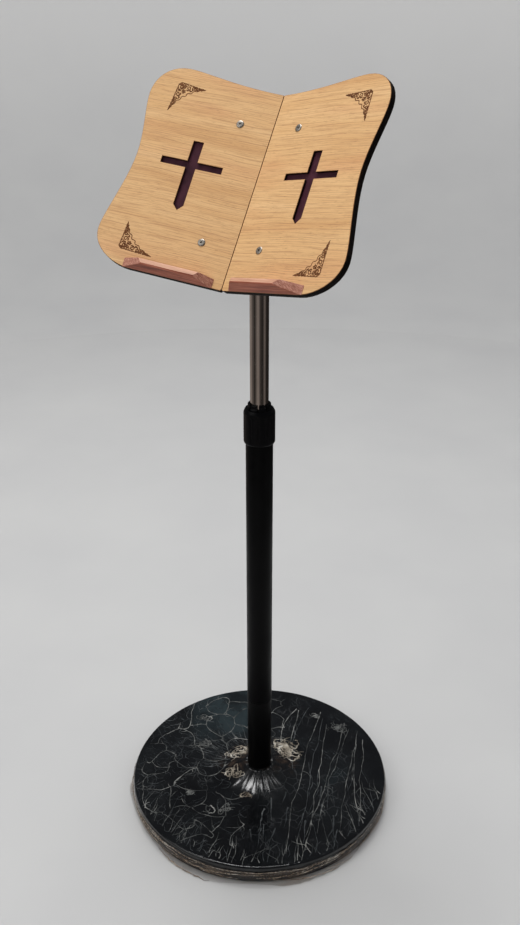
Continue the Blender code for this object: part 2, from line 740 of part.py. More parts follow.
def bracket_piece(desk):
    """One plate, cut to a tall I and folded along the spine so that it lies along both leaves."""
    rise, depth = LEAF_RISE, LEAF_BACK + GAP
    fold = []
    for skin in (depth, depth + BRACKET):
        reach = BRACKET_HALF * 1.2
        end = (reach * math.cos(rise) + skin * math.sin(rise), reach * math.sin(rise) - skin * math.cos(rise))
        fold.append([(-end[0], end[1]), (0, -skin / math.cos(rise)), end])
    front, back = fold
    spine = Matrix.Translation((0, -PIVOT_UP, PIVOT_SETBACK))
    middle = Matrix.Translation((0, SPINE_LENGTH / 2, 0))
    plate = flat_piece("back_bracket", [outline(front + back[::-1])], 0.3, BLACK_COAT,
                       spine @ middle @ IN_XZ, desk)

    low, high = BRACKET_ENDS_V
    taper = BRACKET_BAR + BRACKET_HALF / 2 - BRACKET_WEB / 2
    right = [
        (BRACKET_HALF, low),
        (BRACKET_HALF, low + BRACKET_BAR),
        (BRACKET_WEB, low + taper),
        (BRACKET_WEB, high - taper),
        (BRACKET_HALF, high - BRACKET_BAR),
        (BRACKET_HALF, high),
    ]
    left = [(-x, y) for x, y in right[::-1]]
    blank = flat_piece("bracket_blank", [outline(right + left)], 0.12, None, spine, desk, CUTTERS)
    boolean(plate, as_cutter(blank), "INTERSECT")
    for side, name in ((1, "right"), (-1, "left")):
        leaf = spine @ Matrix.Rotation(-side * LEAF_RISE, 4, "Y")
        for v in RIVET_V:
            where = leaf @ Matrix.Translation((side * RIVET_U, v, 0))
            hole = as_cutter(rod(f"bracket_hole_{name}_{int(v * 1000)}", RIVET_SHANK + GAP, -0.03, 0.0,
                                 matrix=where, parent=desk, steps=12, group=CUTTERS))
            boolean(plate, hole)


def lug_piece(desk):
    """The tongue welded to the bracket's fold, round about the tilt axis."""
    top = PIVOT_SETBACK - (LEAF_BACK + GAP + BRACKET) / math.cos(LEAF_RISE) - GAP
    radius = 0.0110
    arc = [math.radians(205 + 130 * i / 8) for i in range(9)]
    end = [(radius * math.cos(a), radius * math.sin(a)) for a in arc]
    profile = end + [(0.0300, top - 0.004), (0.0300, top), (-0.0300, top), (-0.0300, top - 0.004)]
    hole = circle((0, 0), TILT_BOLT_RADIUS + GAP)
    flat_piece("tilt_lug", [outline(profile), outline(hole)], 2 * LUG_HALF, BLACK_COAT, ALONG_X, desk)


def desk_pieces():
    tilt = Matrix.Translation((0, 0, PIVOT_HEIGHT)) @ Matrix.Rotation(DESK_SLOPE, 4, "X")
    desk = new_frame("desk_tilt_axis", tilt)
    for name, side in (("right", 1), ("left", -1)):
        leaf_pieces(name, side, desk)
    bracket_piece(desk)
    lug_piece(desk)


base_pieces()
column_pieces()
clamp_pieces()
mast_pieces()
head_pieces()
desk_pieces()
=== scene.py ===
"""Looks of the telescopic book stand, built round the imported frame.

Round pieces are turned again at a fine pitch, flat ones get rounded edges, the two films are crinkled
sheets, and every surface has a node material. Lengths are in metres, angles in radians.
"""

import json
import math
import random

import bmesh
import bpy
from mathutils import Matrix, Vector, noise
from mathutils.geometry import delaunay_2d_cdt


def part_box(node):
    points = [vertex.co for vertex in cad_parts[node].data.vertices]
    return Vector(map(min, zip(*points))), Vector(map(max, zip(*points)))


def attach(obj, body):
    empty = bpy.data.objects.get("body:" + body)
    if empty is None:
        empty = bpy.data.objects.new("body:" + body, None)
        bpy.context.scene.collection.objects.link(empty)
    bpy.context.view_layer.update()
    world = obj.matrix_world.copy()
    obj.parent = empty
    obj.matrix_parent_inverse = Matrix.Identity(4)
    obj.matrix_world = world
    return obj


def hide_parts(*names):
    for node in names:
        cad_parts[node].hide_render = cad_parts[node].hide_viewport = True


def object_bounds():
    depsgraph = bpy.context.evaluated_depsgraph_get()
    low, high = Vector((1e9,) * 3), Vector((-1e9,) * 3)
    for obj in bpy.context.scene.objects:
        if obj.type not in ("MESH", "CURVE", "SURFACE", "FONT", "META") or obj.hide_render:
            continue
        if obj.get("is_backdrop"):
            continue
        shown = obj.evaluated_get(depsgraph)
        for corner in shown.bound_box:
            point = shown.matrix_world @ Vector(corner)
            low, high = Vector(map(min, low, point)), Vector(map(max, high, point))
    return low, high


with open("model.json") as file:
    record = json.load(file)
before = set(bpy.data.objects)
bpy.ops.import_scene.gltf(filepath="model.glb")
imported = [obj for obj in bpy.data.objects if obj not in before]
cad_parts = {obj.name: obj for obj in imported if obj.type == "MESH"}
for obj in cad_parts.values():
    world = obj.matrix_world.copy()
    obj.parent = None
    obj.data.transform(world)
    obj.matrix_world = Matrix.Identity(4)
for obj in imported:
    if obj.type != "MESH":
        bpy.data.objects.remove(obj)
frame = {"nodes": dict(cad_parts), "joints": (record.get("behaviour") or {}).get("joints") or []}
CAD_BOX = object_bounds()

TAU = 2 * math.pi


# -------- places read from the frame
def top(node):
    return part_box(node)[1].z


def bottom(node):
    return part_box(node)[0].z


def radius(node):
    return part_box(node)[1].x


def middle(node):
    return sum(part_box(node), Vector()) / 2


JOINTS = {joint["name"]: joint for joint in frame["joints"]}
PIVOT = Vector(JOINTS["desk_tilt"]["pos_m"])
DESK_SLOPE = math.radians(56.3)
LEAF_RISE = math.radians(15.1)
PIVOT_UP = 0.1001        # the tilt pivot's place from the foot of the desk's spine, up along it
PIVOT_SETBACK = 0.0360   # and behind it
DESK = Matrix.Translation(PIVOT) @ Matrix.Rotation(DESK_SLOPE, 4, "X")
SPINE = DESK @ Matrix.Translation((0, -PIVOT_UP, PIVOT_SETBACK))
SIDES = {"right": 1, "left": -1}
LEAF = {name: SPINE @ Matrix.Rotation(-side * LEAF_RISE, 4, "Y") for name, side in SIDES.items()}
# These lay a piece that was turned about Z along X or along Y.
ALONG_X = Matrix(((0, 0, 1, 0), (1, 0, 0, 0), (0, 1, 0, 0), (0, 0, 0, 1)))
ALONG_Y = Matrix(((1, 0, 0, 0), (0, 0, 1, 0), (0, -1, 0, 0), (0, 0, 0, 1)))

VEIN_TURN = math.radians(33)  # the printed veins' own direction about Z
MAST_BORE = 0.0129            # inner radius of the parts round the mast tube

# The photographed view: camera place, pitch and lens.
CAMERA_AZIMUTH = math.radians(32.83)
CAMERA_REACH = 1.2066
CAMERA_HEIGHT = 1.1330
CAMERA_PITCH = math.radians(24.62)
CAMERA_YAW = math.radians(-0.04)
CAMERA_LENS = 37.05


# -------- material graphs
class Look:
    """One node material. What is even over the surface is set on the shader's own sockets."""

    def __init__(self, name, **even):
        self.mat = bpy.data.materials.new(name)
        self.mat.use_nodes = True
        self.tree = self.mat.node_tree
        self.shader = self.tree.nodes["Principled BSDF"]
        for socket, value in even.items():
            self.shader.inputs[socket.replace("_", " ")].default_value = value
        self.at = self.node("ShaderNodeTexCoord").outputs["Object"]

    def node(self, kind, inputs=None, **settings):
        made = self.tree.nodes.new(kind)
        for key, value in settings.items():
            setattr(made, key, value)
        for key, value in (inputs or {}).items():
            socket = made.inputs[key]
            if isinstance(value, bpy.types.NodeSocket):
                self.tree.links.new(value, socket)
            else:
                socket.default_value = value
        return made

    def maths(self, operation, a, b=0.0):
        return self.node("ShaderNodeMath", {0: a, 1: b}, operation=operation).outputs[0]

    def plus(self, a, b):
        return self.maths("ADD", a, b)

    def times(self, *values):
        product = values[0]
        for value in values[1:]:
            product = self.maths("MULTIPLY", product, value)
        return product

    def vector(self, operation, a, b=(0, 0, 0)):
        return self.node("ShaderNodeVectorMath", {0: a, 1: b}, operation=operation).outputs

    def split(self, at):
        return self.node("ShaderNodeSeparateXYZ", {0: at}).outputs

    def joined(self, x, y):
        return self.node("ShaderNodeCombineXYZ", {0: x, 1: y}).outputs[0]

    def stretched(self, scale, turn=(0, 0, 0), shift=(0, 0, 0), at=None):
        """Coordinates turned, then scaled: each number is how many units of pattern fit in a metre."""
        turned = self.node("ShaderNodeVectorRotate", {"Vector": at or self.at, "Rotation": turn},
                           rotation_type="EULER_XYZ").outputs[0]
        inputs = {"Vector": turned, "Scale": scale, "Location": shift}
        return self.node("ShaderNodeMapping", inputs).outputs[0]

    def warped(self, at, scale, amount):
        """Coordinates pushed about by a soft noise."""
        soft = self.node("ShaderNodeTexNoise", {"Vector": at, "Scale": scale, "Detail": 3.0}).outputs["Color"]
        centred = self.vector("SUBTRACT", soft, (0.5, 0.5, 0.5))[0]
        return self.vector("ADD", at, self.vector("MULTIPLY", centred, (amount,) * 3)[0])[0]

    def noise(self, at, scale=1.0, detail=3.0, rough=0.5):
        inputs = {"Vector": at, "Scale": scale, "Detail": detail, "Roughness": rough}
        return self.node("ShaderNodeTexNoise", inputs).outputs["Fac"]

    def grain(self, scale, detail=3.0, rough=0.5, turn=(0, 0, 0)):
        """Noise with so many waves to the metre along each axis."""
        return self.noise(self.stretched(scale, turn), 1.0, detail, rough)

    def edges(self, at, scale):
        """Distance to the nearest cell border."""
        return self.node("ShaderNodeTexVoronoi", {"Vector": at, "Scale": scale},
                         feature="DISTANCE_TO_EDGE").outputs["Distance"]

    def span(self, value, low, high, to=(0.0, 1.0)):
        inputs = {"Value": value, "From Min": low, "From Max": high, "To Min": to[0], "To Max": to[1]}
        return self.node("ShaderNodeMapRange", inputs, interpolation_type="SMOOTHSTEP").outputs["Result"]

    def ramp(self, fac, *stops):
        made = self.node("ShaderNodeValToRGB", {"Fac": fac})
        elements = made.color_ramp.elements
        while len(elements) < len(stops):
            elements.new(0.5)
        for element, (place, colour) in zip(elements, stops):
            element.position = place
            element.color = (*colour, 1.0)
        return made.outputs["Color"]

    def mix(self, fac, a, b):
        a, b = (x if isinstance(x, bpy.types.NodeSocket) else (*x, 1.0) for x in (a, b))
        return self.node("ShaderNodeMix", {0: fac, 6: a, 7: b}, data_type="RGBA").outputs[2]

    def bump(self, height, distance, strength, under=None):
        inputs = {"Height": height, "Distance": distance, "Strength": strength}
        if under is not None:
            inputs["Normal"] = under
        return self.node("ShaderNodeBump", inputs).outputs["Normal"]

    def paint(self, **sockets):
        for socket, value in sockets.items():
            self.tree.links.new(value, self.shader.inputs[socket.replace("_", " ")])
        return self.mat

    def surface(self, colour, grain, rough, depth, strength):
        """Colour, with the roughness and a fine relief that follow one grain."""
        return self.paint(Base_Color=colour, Roughness=self.span(grain, 0.3, 0.7, rough),
                          Normal=self.bump(grain, depth, strength))


def mottled(name, grain, stops, rough, relief, cloud=None, **even):
    """A plain material: colour follows the cloud or else the grain. Both are (waves to the metre, detail)."""
    look = Look(name, **even)
    fine = look.grain(*grain)
    colour = look.ramp(look.grain(*cloud) if cloud else fine, *stops)
    return look.surface(colour, fine, rough, *relief)


def beech(name, shift):
    """Light laminate. The grain runs across the leaf: broad golden and orange bands, thin lines that keep
    side by side as they waver, short dashes and pores. shift picks another part of the board."""
    look = Look(name, Specular_IOR_Level=0.3, Coat_Weight=0.06, Coat_Roughness=0.3)
    at = look.warped(look.stretched((1, 1, 1), shift=shift), 5.0, 0.010)
    across = look.split(at)[1]

    def grain(scale, detail, rough, offset):
        return look.noise(look.stretched(scale, shift=offset, at=at), 1.0, detail, rough)

    def rings(per_metre, drift, scale, offset, thick):
        """Thin dark lines: a fixed number to the metre, pushed about together by a soft noise."""
        pushed = look.times(grain(scale, 2.0, 0.5, offset), drift)
        phase = look.maths("FRACT", look.plus(look.times(across, per_metre), pushed))
        return look.span(look.maths("ABSOLUTE", look.maths("SUBTRACT", phase, 0.5)), 0.5 - thick, 0.5)

    bands = grain((3.2, 46, 46), 3.0, 0.55, (0, 0, 0))
    colour = look.ramp(bands, (0.32, (0.640, 0.368, 0.158)), (0.46, (0.705, 0.430, 0.196)),
                       (0.58, (0.730, 0.455, 0.212)), (0.72, (0.765, 0.495, 0.245)))
    blush = look.span(grain((5, 24, 24), 2.0, 0.5, (3, 1, 0)), 0.50, 0.74, (0.0, 0.45))
    bunches = look.span(grain((4, 60, 60), 2.0, 0.5, (9, 5, 0)), 0.40, 0.62)
    broken = look.span(grain((26, 420, 420), 3.0, 0.6, (2, 8, 0)), 0.36, 0.56)
    coarse = look.times(rings(155, 3.2, (4.5, 20, 20), (1, 2, 0), 0.13), broken,
                        look.span(bunches, 0.0, 1.0, (0.30, 0.66)))
    fine = look.times(rings(400, 5.0, (7, 36, 36), (5, 4, 0), 0.22), broken,
                      look.span(bunches, 0.0, 1.0, (0.62, 0.40)))
    streaks = grain((16, 760, 760), 4.0, 0.62, (4, 7, 0))
    dashes = look.span(streaks, 0.50, 0.62, (0.0, 0.38))
    pores = look.span(grain((110, 1500, 1500), 2.0, 0.5, (7, 3, 0)), 0.60, 0.72, (0.0, 0.50))
    for share, tint in ((blush, (0.670, 0.338, 0.158)), (coarse, (0.400, 0.190, 0.078)),
                        (fine, (0.430, 0.215, 0.092)), (dashes, (0.430, 0.220, 0.098)),
                        (pores, (0.290, 0.130, 0.052))):
        colour = look.mix(share, colour, tint)
    return look.surface(colour, streaks, (0.38, 0.52), 0.00004, 0.6)


def burnt_edge():
    """Laser-cut edge: scorched brown at the face, near black below, with fine vertical char lines."""
    look = Look("burnt_edge", Specular_IOR_Level=0.10)
    lines = look.grain((900, 900, 40), 2.0)
    char = look.ramp(look.grain((60, 60, 160), 4.0), (0.35, (0.0045, 0.0030, 0.0024)),
                     (0.62, (0.0095, 0.0055, 0.0040)), (0.8, (0.0220, 0.0110, 0.0065)))
    scorch = look.mix(look.span(lines, 0.35, 0.65), (0.200, 0.090, 0.036), (0.330, 0.160, 0.068))
    near_face = look.span(look.split(look.at)[2], -0.00075, -0.00010)
    return look.surface(look.mix(near_face, char, scorch), lines, (0.55, 0.8), 0.00005, 0.5)


def board_back():
    """The plain dark back of the board, slightly mottled fibre."""
    look = Look("dark_board", Specular_IOR_Level=0.3)
    fibre = look.grain((450, 450, 450), 5.0, 0.65)
    colour = look.ramp(fibre, (0.3, (0.055, 0.034, 0.022)), (0.7, (0.105, 0.066, 0.042)))
    cloud = look.span(look.grain((18, 18, 18)), 0.35, 0.7, (0.0, 0.4))
    return look.surface(look.mix(cloud, colour, (0.05, 0.03, 0.02)), fibre, (0.5, 0.68), 0.00006, 0.7)


def burnt_line():
    """Laser-burnt line work, lighter where the beam ran fast."""
    look = Look("burnt_ornament", Specular_IOR_Level=0.15, Roughness=0.8)
    return look.paint(Base_Color=look.ramp(look.grain((420, 420, 420)), (0.33, (0.070, 0.022, 0.007)),
                                           (0.52, (0.140, 0.052, 0.018)), (0.70, (0.210, 0.088, 0.032))))


def stained_wood(name, dark, mid, pale, scale=(18, 300, 300), turn=(0, 0, 0)):
    """Reddish-brown ledge wood, from its grain's dark lines to its pale ones."""
    look = Look(name, Specular_IOR_Level=0.12)
    grain = look.noise(look.warped(look.stretched(scale, turn), 0.8, 0.7), 1.0, 4.0, 0.6)
    broad = look.span(look.grain((14, 90, 90), turn=turn), 0.42, 0.65, (0.0, 0.45))
    colour = look.ramp(grain, (0.30, dark), (0.50, mid), (0.72, pale))
    return look.surface(look.mix(broad, colour, [0.75 * c for c in mid]), grain, (0.4, 0.58), 0.00012, 0.6)


def polished_steel():
    """Mirror-polished tube with faint lines from drawing and polishing along its length. Its colour also has
    broad, faint lighter and darker streaks along the tube: painted reflection streaks.
    """
    look = Look("polished_stainless", Metallic=1.0)
    drawn = look.grain((700, 700, 5), 4.0, 0.6)
    haze_and_painted_streaks = look.grain((60, 60, 14))
    # painted reflection: lighter and darker streaks along the tube in the metal's colour; the same noise also
    # varies the roughness
    colour = look.ramp(haze_and_painted_streaks, (0.3, (0.56, 0.53, 0.50)), (0.7, (0.68, 0.65, 0.61)))
    rough = look.plus(look.span(drawn, 0.3, 0.7, (0.09, 0.17)), look.span(haze_and_painted_streaks, 0.5, 0.8, (0.0, 0.05)))
    return look.paint(Base_Color=colour, Roughness=rough, Normal=look.bump(drawn, 0.00001, 0.5))


def powder_coat(name, shade, peel):
    """Satin black coat with its fine orange peel."""
    look = Look(name, Specular_IOR_Level=0.09)
    cloud = look.noise(look.at, 30.0)
    colour = look.ramp(cloud, (0.3, (shade, shade, shade * 1.15)),
                       (0.7, (shade * 1.8, shade * 1.8, shade * 2.1)))
    return look.paint(Base_Color=colour, Roughness=look.span(cloud, 0.3, 0.7, (0.34, 0.46)),
                      Normal=look.bump(look.noise(look.at, 900.0, 2.0), 0.00005, peel))


def black_moulding():
    """Moulded nylon: a touch browner and rougher than the coat, with mould grain and scuffs."""
    look = Look("black_moulding", Specular_IOR_Level=0.10)
    scuff = look.span(look.grain((90, 90, 500), 5.0, 0.7), 0.56, 0.75)
    colour = look.ramp(scuff, (0.0, (0.0025, 0.0025, 0.0030)), (1.0, (0.0110, 0.0105, 0.0100)))
    return look.paint(Base_Color=colour, Roughness=look.span(scuff, 0.0, 1.0, (0.38, 0.6)),
                      Normal=look.bump(look.noise(look.at, 1500.0, 2.0), 0.00005, 0.5))


def concrete():
    look = Look("cast_concrete", Specular_IOR_Level=0.3)
    sand = look.noise(look.at, 260.0, 6.0, 0.7)
    tones = look.ramp(sand, (0.3, (0.20, 0.19, 0.17)), (0.7, (0.40, 0.38, 0.35)))
    return look.surface(look.mix(look.noise(look.at, 14.0), tones, (0.28, 0.27, 0.25)), sand,
                        (0.8, 0.98), 0.0004, 0.7)


def hub_reach(look):
    """Distance of a point from the stand's axis."""
    axes = look.split(look.at)
    return look.vector("LENGTH", look.joined(axes[0], axes[1]))["Value"]


def film_gloss(look, plan):
    """The film's creases and sheen, shared by its black ground and by the veins printed on it."""
    axes = look.split(look.at)
    reach = hub_reach(look)
    angle = look.maths("ARCTAN2", axes[0], axes[1])

    def folds(turns, rings, detail, near, far, heights):
        """Folds that run out from the hub, of one height near it and of another far from it."""
        fan = look.joined(look.times(angle, turns), look.times(reach, rings))
        return look.times(look.span(look.noise(fan, 1.0, detail, 0.6), 0.35, 0.65),
                          look.span(reach, near, far, heights))

    height = look.plus(folds(16.0, 24.0, 4.0, 0.110, 0.190, (0.0, 0.6)),
                       folds(4.5, 12.0, 1.4, 0.030, 0.080, (1.9, 0.0)))
    crumple = look.noise(look.warped(plan, 20.0, 0.05), 60.0, 4.0, 0.6)
    rough = look.plus(look.span(look.noise(plan, 40.0), 0.3, 0.7, (0.07, 0.18)),
                      look.span(reach, 0.030, 0.070, (0.10, 0.0)))
    return rough, look.bump(height, 0.0008, 0.45, under=look.bump(crumple, 0.0008, 0.40))


def marble_film():
    """Glossy black film, brown in its depths, with a painted teal sheen at its back left and hazy smears that
    are partly rubbed print and partly painted sheen, stronger towards the back.
    """
    look = Look("marble_film", Specular_IOR_Level=0.5)
    plan = look.stretched((1, 1, 0.4), (0, 0, -VEIN_TURN))
    axes = look.split(plan)

    def cloud(scale, low, high, to=(0.0, 1.0), detail=3.0, rough=0.5):
        return look.span(look.noise(plan, scale, detail, rough), low, high, to)

    ground = look.ramp(look.noise(plan, 12.0), (0.35, (0.0028, 0.0030, 0.0036)),
                       (0.66, (0.0065, 0.0075, 0.0085)), (0.80, (0.0100, 0.0145, 0.0165)))
    web = look.span(look.edges(look.warped(plan, 45.0, 0.014), 58.0), 0.0, 0.055, (1.0, 0.0))
    # Lighter smears: partly real rubbed print and partly painted sheen, made stronger towards the back of the
    # film.
    rub_at = look.stretched((70, 420, 90), (0, 0, 0.80), at=look.warped(plan, 12.0, 0.03))
    behind = look.span(look.span(axes[1], -0.02, 0.06), 0.0, 1.0, (0.20, 0.8))
    rubbed_and_painted_sheen = look.times(look.span(look.noise(rub_at, 1.0, 5.0, 0.7), 0.52, 0.76),
                        cloud(13.0, 0.42, 0.60, detail=2.0), behind)
    # painted sheen: a teal haze lightens the back left of the film
    painted_teal_sheen = look.times(look.span(axes[1], 0.055, 0.105), look.span(axes[0], 0.015, -0.020),
                      look.span(axes[0], -0.14, -0.08), cloud(26.0, 0.36, 0.60, (0.25, 0.9)))
    near_hub = look.times(look.span(hub_reach(look), 0.030, 0.085, (1.0, 0.0)),
                          look.span(axes[1], -0.030, 0.004), cloud(60.0, 0.44, 0.60, detail=4.0, rough=0.7))
    stain = look.ramp(look.noise(plan, 150.0, 3.0, 0.7), (0.38, (0.016, 0.010, 0.007)),
                      (0.62, (0.085, 0.052, 0.032)))
    colour = look.mix(look.times(web, cloud(24.0, 0.46, 0.66), 0.30), ground, (0.075, 0.078, 0.080))
    colour = look.mix(rubbed_and_painted_sheen, colour, (0.060, 0.070, 0.075))
    colour = look.mix(painted_teal_sheen, colour, (0.021, 0.031, 0.035))
    colour = look.mix(look.times(near_hub, 0.45), colour, stain)
    rough, normal = film_gloss(look, plan)
    return look.paint(Base_Color=colour, Roughness=rough, Normal=normal)


def vein_print(name, dark, mid, pale):
    """Ink of the printed veins: it fades in and out along them, under the same gloss as the film."""
    look = Look(name, Specular_IOR_Level=0.5)
    plan = look.stretched((1, 1, 0.4), (0, 0, -VEIN_TURN))
    colour = look.ramp(look.noise(plan, 34.0, 4.0, 0.7), (0.36, dark), (0.52, mid), (0.68, pale))
    rough, normal = film_gloss(look, plan)
    return look.paint(Base_Color=colour, Roughness=rough, Normal=normal)


def clear_film():
    """Thin packing film round the rim: brown where it is doubled, and painted paler towards its hem as
    painted light.
    """
    look = Look("clear_film", Specular_IOR_Level=0.6, IOR=1.5)
    axes = look.split(look.at)
    wrap = look.joined(look.times(look.maths("ARCTAN2", axes[0], axes[1]), 6.0), look.times(axes[2], 120.0))
    folds = look.noise(look.warped(wrap, 1.0, 0.9), 1.0, 3.0, 0.6)
    cloud = look.noise(wrap, 0.6)
    colour = look.ramp(cloud, (0.38, (0.026, 0.016, 0.010)), (0.55, (0.070, 0.044, 0.028)),
                       (0.70, (0.210, 0.155, 0.110)))
    # painted light: the film's colour is paler towards its hem
    colour = look.mix(look.span(axes[2], 0.0005, 0.009, (0.6, 0.0)), colour, (0.260, 0.185, 0.130))
    facing = look.node("ShaderNodeLayerWeight", {"Blend": 0.35}).outputs["Facing"]
    alpha = look.plus(look.span(cloud, 0.38, 0.70, (0.12, 0.42)),
                      look.span(facing, 0.45, 0.95, (0.0, 0.25)))
    look.mat.surface_render_method = "DITHERED"
    return look.paint(Base_Color=colour, Alpha=alpha, Roughness=look.span(folds, 0.4, 0.7, (0.08, 0.22)),
                      Normal=look.bump(folds, 0.0009, 0.7))


def crease_white():
    """Creased clear film: tan to milky, half see-through."""
    look = Look("film_crease", Specular_IOR_Level=0.6)
    fine = look.noise(look.at, 260.0)
    colour = look.ramp(look.noise(look.at, 30.0), (0.36, (0.150, 0.095, 0.060)),
                       (0.52, (0.360, 0.280, 0.205)), (0.66, (0.600, 0.560, 0.500)))
    look.mat.surface_render_method = "DITHERED"
    return look.paint(Base_Color=colour, Alpha=look.span(fine, 0.35, 0.62, (0.25, 0.85)),
                      Roughness=look.span(fine, 0.3, 0.7, (0.15, 0.35)))


def pale_floor():
    """Even grey underfoot, paler up the sweep."""
    look = Look("pale_floor", Specular_IOR_Level=0.2, Roughness=0.75)
    low = look.ramp(look.noise(look.at, 3.0), (0.3, (0.51, 0.51, 0.51)), (0.7, (0.54, 0.54, 0.535)))
    climb = look.span(look.split(look.at)[2], 0.0, 1.8)
    return look.paint(Base_Color=look.mix(climb, low, (0.82, 0.815, 0.805)))


# -------- mesh helpers
def within(value, low=0.0, high=1.0):
    return max(low, min(high, value))


def linked(name, data):
    """A new object in the scene."""
    made = bpy.data.objects.new(name, data)
    bpy.context.scene.collection.objects.link(made)
    return made


def mesh_of(name, cage):
    mesh = bpy.data.meshes.new(name)
    cage.to_mesh(mesh)
    cage.free()
    return mesh


def paint_node(node, mat):
    """Gives a CAD node that stays in the scene its material."""
    slots = frame["nodes"][node].data.materials
    slots.clear()
    slots.append(mat)


def finish_piece(name, mesh, mat, body, nodes, slot, place=None, sharp=35):
    """Links a new piece, shades it, says which body it rides on, and hides the nodes it stands for."""
    piece = linked(name, mesh)
    piece.matrix_world = place or Matrix()
    for each in mat if isinstance(mat, (list, tuple)) else [mat]:
        mesh.materials.append(each)
    mesh.shade_smooth()
    mesh.set_sharp_from_angle(angle=math.radians(sharp))
    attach(piece, body)
    if nodes:
        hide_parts(*nodes)
    return piece


def filleted(corners, steps=4):
    """A profile's corners (radius, height, fillet) with each fillet drawn as an arc."""
    points = []
    for i, (x, y, fillet) in enumerate(corners):
        here = Vector((x, y))
        before = Vector(corners[i - 1][:2]) - here
        after = Vector(corners[(i + 1) % len(corners)][:2]) - here
        start = here + before.normalized() * fillet
        end = here + after.normalized() * fillet
        for k in range(steps + 1 if fillet else 1):
            t = k / steps
            points.append(tuple(start * (1 - t) ** 2 + here * 2 * t * (1 - t) + end * t**2))
    return points


def turned_mesh(name, profile, steps=96, closed=True, shape=None):
    """Revolves (radius, height) points about Z. shape(angle, radius, height) may move each point."""
    cage = bmesh.new()
    rings = []
    for r, z in profile:
        if r < 1e-7:
            rings.append([cage.verts.new((0, 0, z))])
            continue
        ring = []
        for k in range(steps):
            angle = TAU * k / steps
            rr, zz = shape(angle, r, z) if shape else (r, z)
            ring.append(cage.verts.new((rr * math.cos(angle), rr * math.sin(angle), zz)))
        rings.append(ring)
    for one, two in zip(rings, rings[1:] + (rings[:1] if closed else [])):
        for k in range(steps):
            spots = ((one, k), (two, k), (two, (k + 1) % steps), (one, (k + 1) % steps))
            corners = list(dict.fromkeys(ring[i % len(ring)] for ring, i in spots))
            if len(corners) > 2:
                cage.faces.new(corners)
    bmesh.ops.recalc_face_normals(cage, faces=cage.faces)
    return mesh_of(name, cage)


def turned(name, corners, mat, body, slot, nodes, place=None, steps=96, shape=None):
    """A closed turned piece from its profile's corners (radius, height, fillet)."""
    mesh = turned_mesh(name, filleted(corners), steps, shape=shape)
    return finish_piece(name, mesh, mat, body, nodes, slot, place)


HOLE_REACH = 0.0045  # edges nearer than this to a hole's axis stay sharp


def softened(node, name, mats, body, slot, width, place=None, segments=2, pick=None, holes=()):
    """The CAD node's own shape with its edges rounded, other than at the small holes.

    pick(face) chooses a material and holes are their axes, both in place's frame.
    """
    cage = bmesh.new()
    cage.from_mesh(frame["nodes"][node].data)
    bmesh.ops.remove_doubles(cage, verts=cage.verts, dist=2e-6)
    bmesh.ops.transform(cage, matrix=(place or Matrix()).inverted(), verts=cage.verts)
    bmesh.ops.dissolve_limit(cage, angle_limit=math.radians(1.0), verts=cage.verts, edges=cage.edges)
    hard = [e for e in cage.edges if len(e.link_faces) == 2 and e.calc_face_angle(0) > math.radians(38)
            and all((e.verts[0].co.xy - hole).length > HOLE_REACH for hole in holes)]
    bmesh.ops.bevel(cage, geom=hard, offset=width, segments=segments, profile=0.5, affect="EDGES",
                    clamp_overlap=True)
    bmesh.ops.recalc_face_normals(cage, faces=cage.faces)
    if pick:
        for face in cage.faces:
            face.material_index = pick(face)
    piece = finish_piece(name, mesh_of(name, cage), mats, body, [node], slot, place)
    even = piece.modifiers.new("flat_faces_stay_flat", "WEIGHTED_NORMAL")
    even.keep_sharp = True
    even.weight = 100


def carve(piece, cutters):
    """Cuts the cutters out of the piece for good and removes them."""
    bpy.context.view_layer.update()
    for cutter in cutters:
        step = piece.modifiers.new("cut", "BOOLEAN")
        step.operation = "DIFFERENCE"
        step.solver = "EXACT"
        step.object = cutter
    graph = bpy.context.evaluated_depsgraph_get()
    mesh = bpy.data.meshes.new_from_object(piece.evaluated_get(graph))
    piece.modifiers.clear()
    old = piece.data
    piece.data = mesh
    bpy.data.meshes.remove(old)
    for cutter in cutters:
        bpy.data.objects.remove(cutter, do_unlink=True)
    mesh.set_sharp_from_angle(angle=math.radians(35))


def box_object(name, size, place):
    cage = bmesh.new()
    bmesh.ops.create_cube(cage, size=1.0)
    bmesh.ops.scale(cage, vec=size, verts=cage.verts)
    made = linked(name, mesh_of(name, cage))
    made.matrix_world = place
    return made


# -------- camera and light
def around_camera(turn, reach, height):
    """A point at an angle round the stand, counted from the camera's side, anticlockwise from above."""
    angle = CAMERA_AZIMUTH - math.pi / 2 + math.radians(turn)
    return Vector((reach * math.cos(angle), reach * math.sin(angle), height))


def add_camera():
    data = bpy.data.cameras.new("photo_view")
    data.lens = CAMERA_LENS
    data.clip_start, data.clip_end = 0.02, 60
    camera = linked("photo_view", data)
    camera.location = around_camera(0, CAMERA_REACH, CAMERA_HEIGHT)
    camera.rotation_euler = (math.pi / 2 - CAMERA_PITCH, 0, CAMERA_AZIMUTH + CAMERA_YAW)
    bpy.context.scene.camera = camera


# Each softbox: where it hangs from the camera's side, the height it points at, its side, power and colour.
SOFTBOXES = {
    "overhead": ((-160, 0.75, 3.8), 0.4, 1.3, 74, (1, 1, 1)),
    "window": ((-62, 2.3, 2.2), 0.7, 1.5, 15, (1.0, 0.985, 0.96)),
}


def add_softboxes():
    for name, (spot, aim, size, power, colour) in SOFTBOXES.items():
        data = bpy.data.lights.new(name, "AREA")
        data.shape = "RECTANGLE"
        data.size = data.size_y = size
        data.energy = power
        data.color = colour
        light = linked(name, data)
        light.location = around_camera(*spot)
        light.rotation_euler = (Vector((0, 0, aim)) - light.location).to_track_quat("-Z", "Y").to_euler()


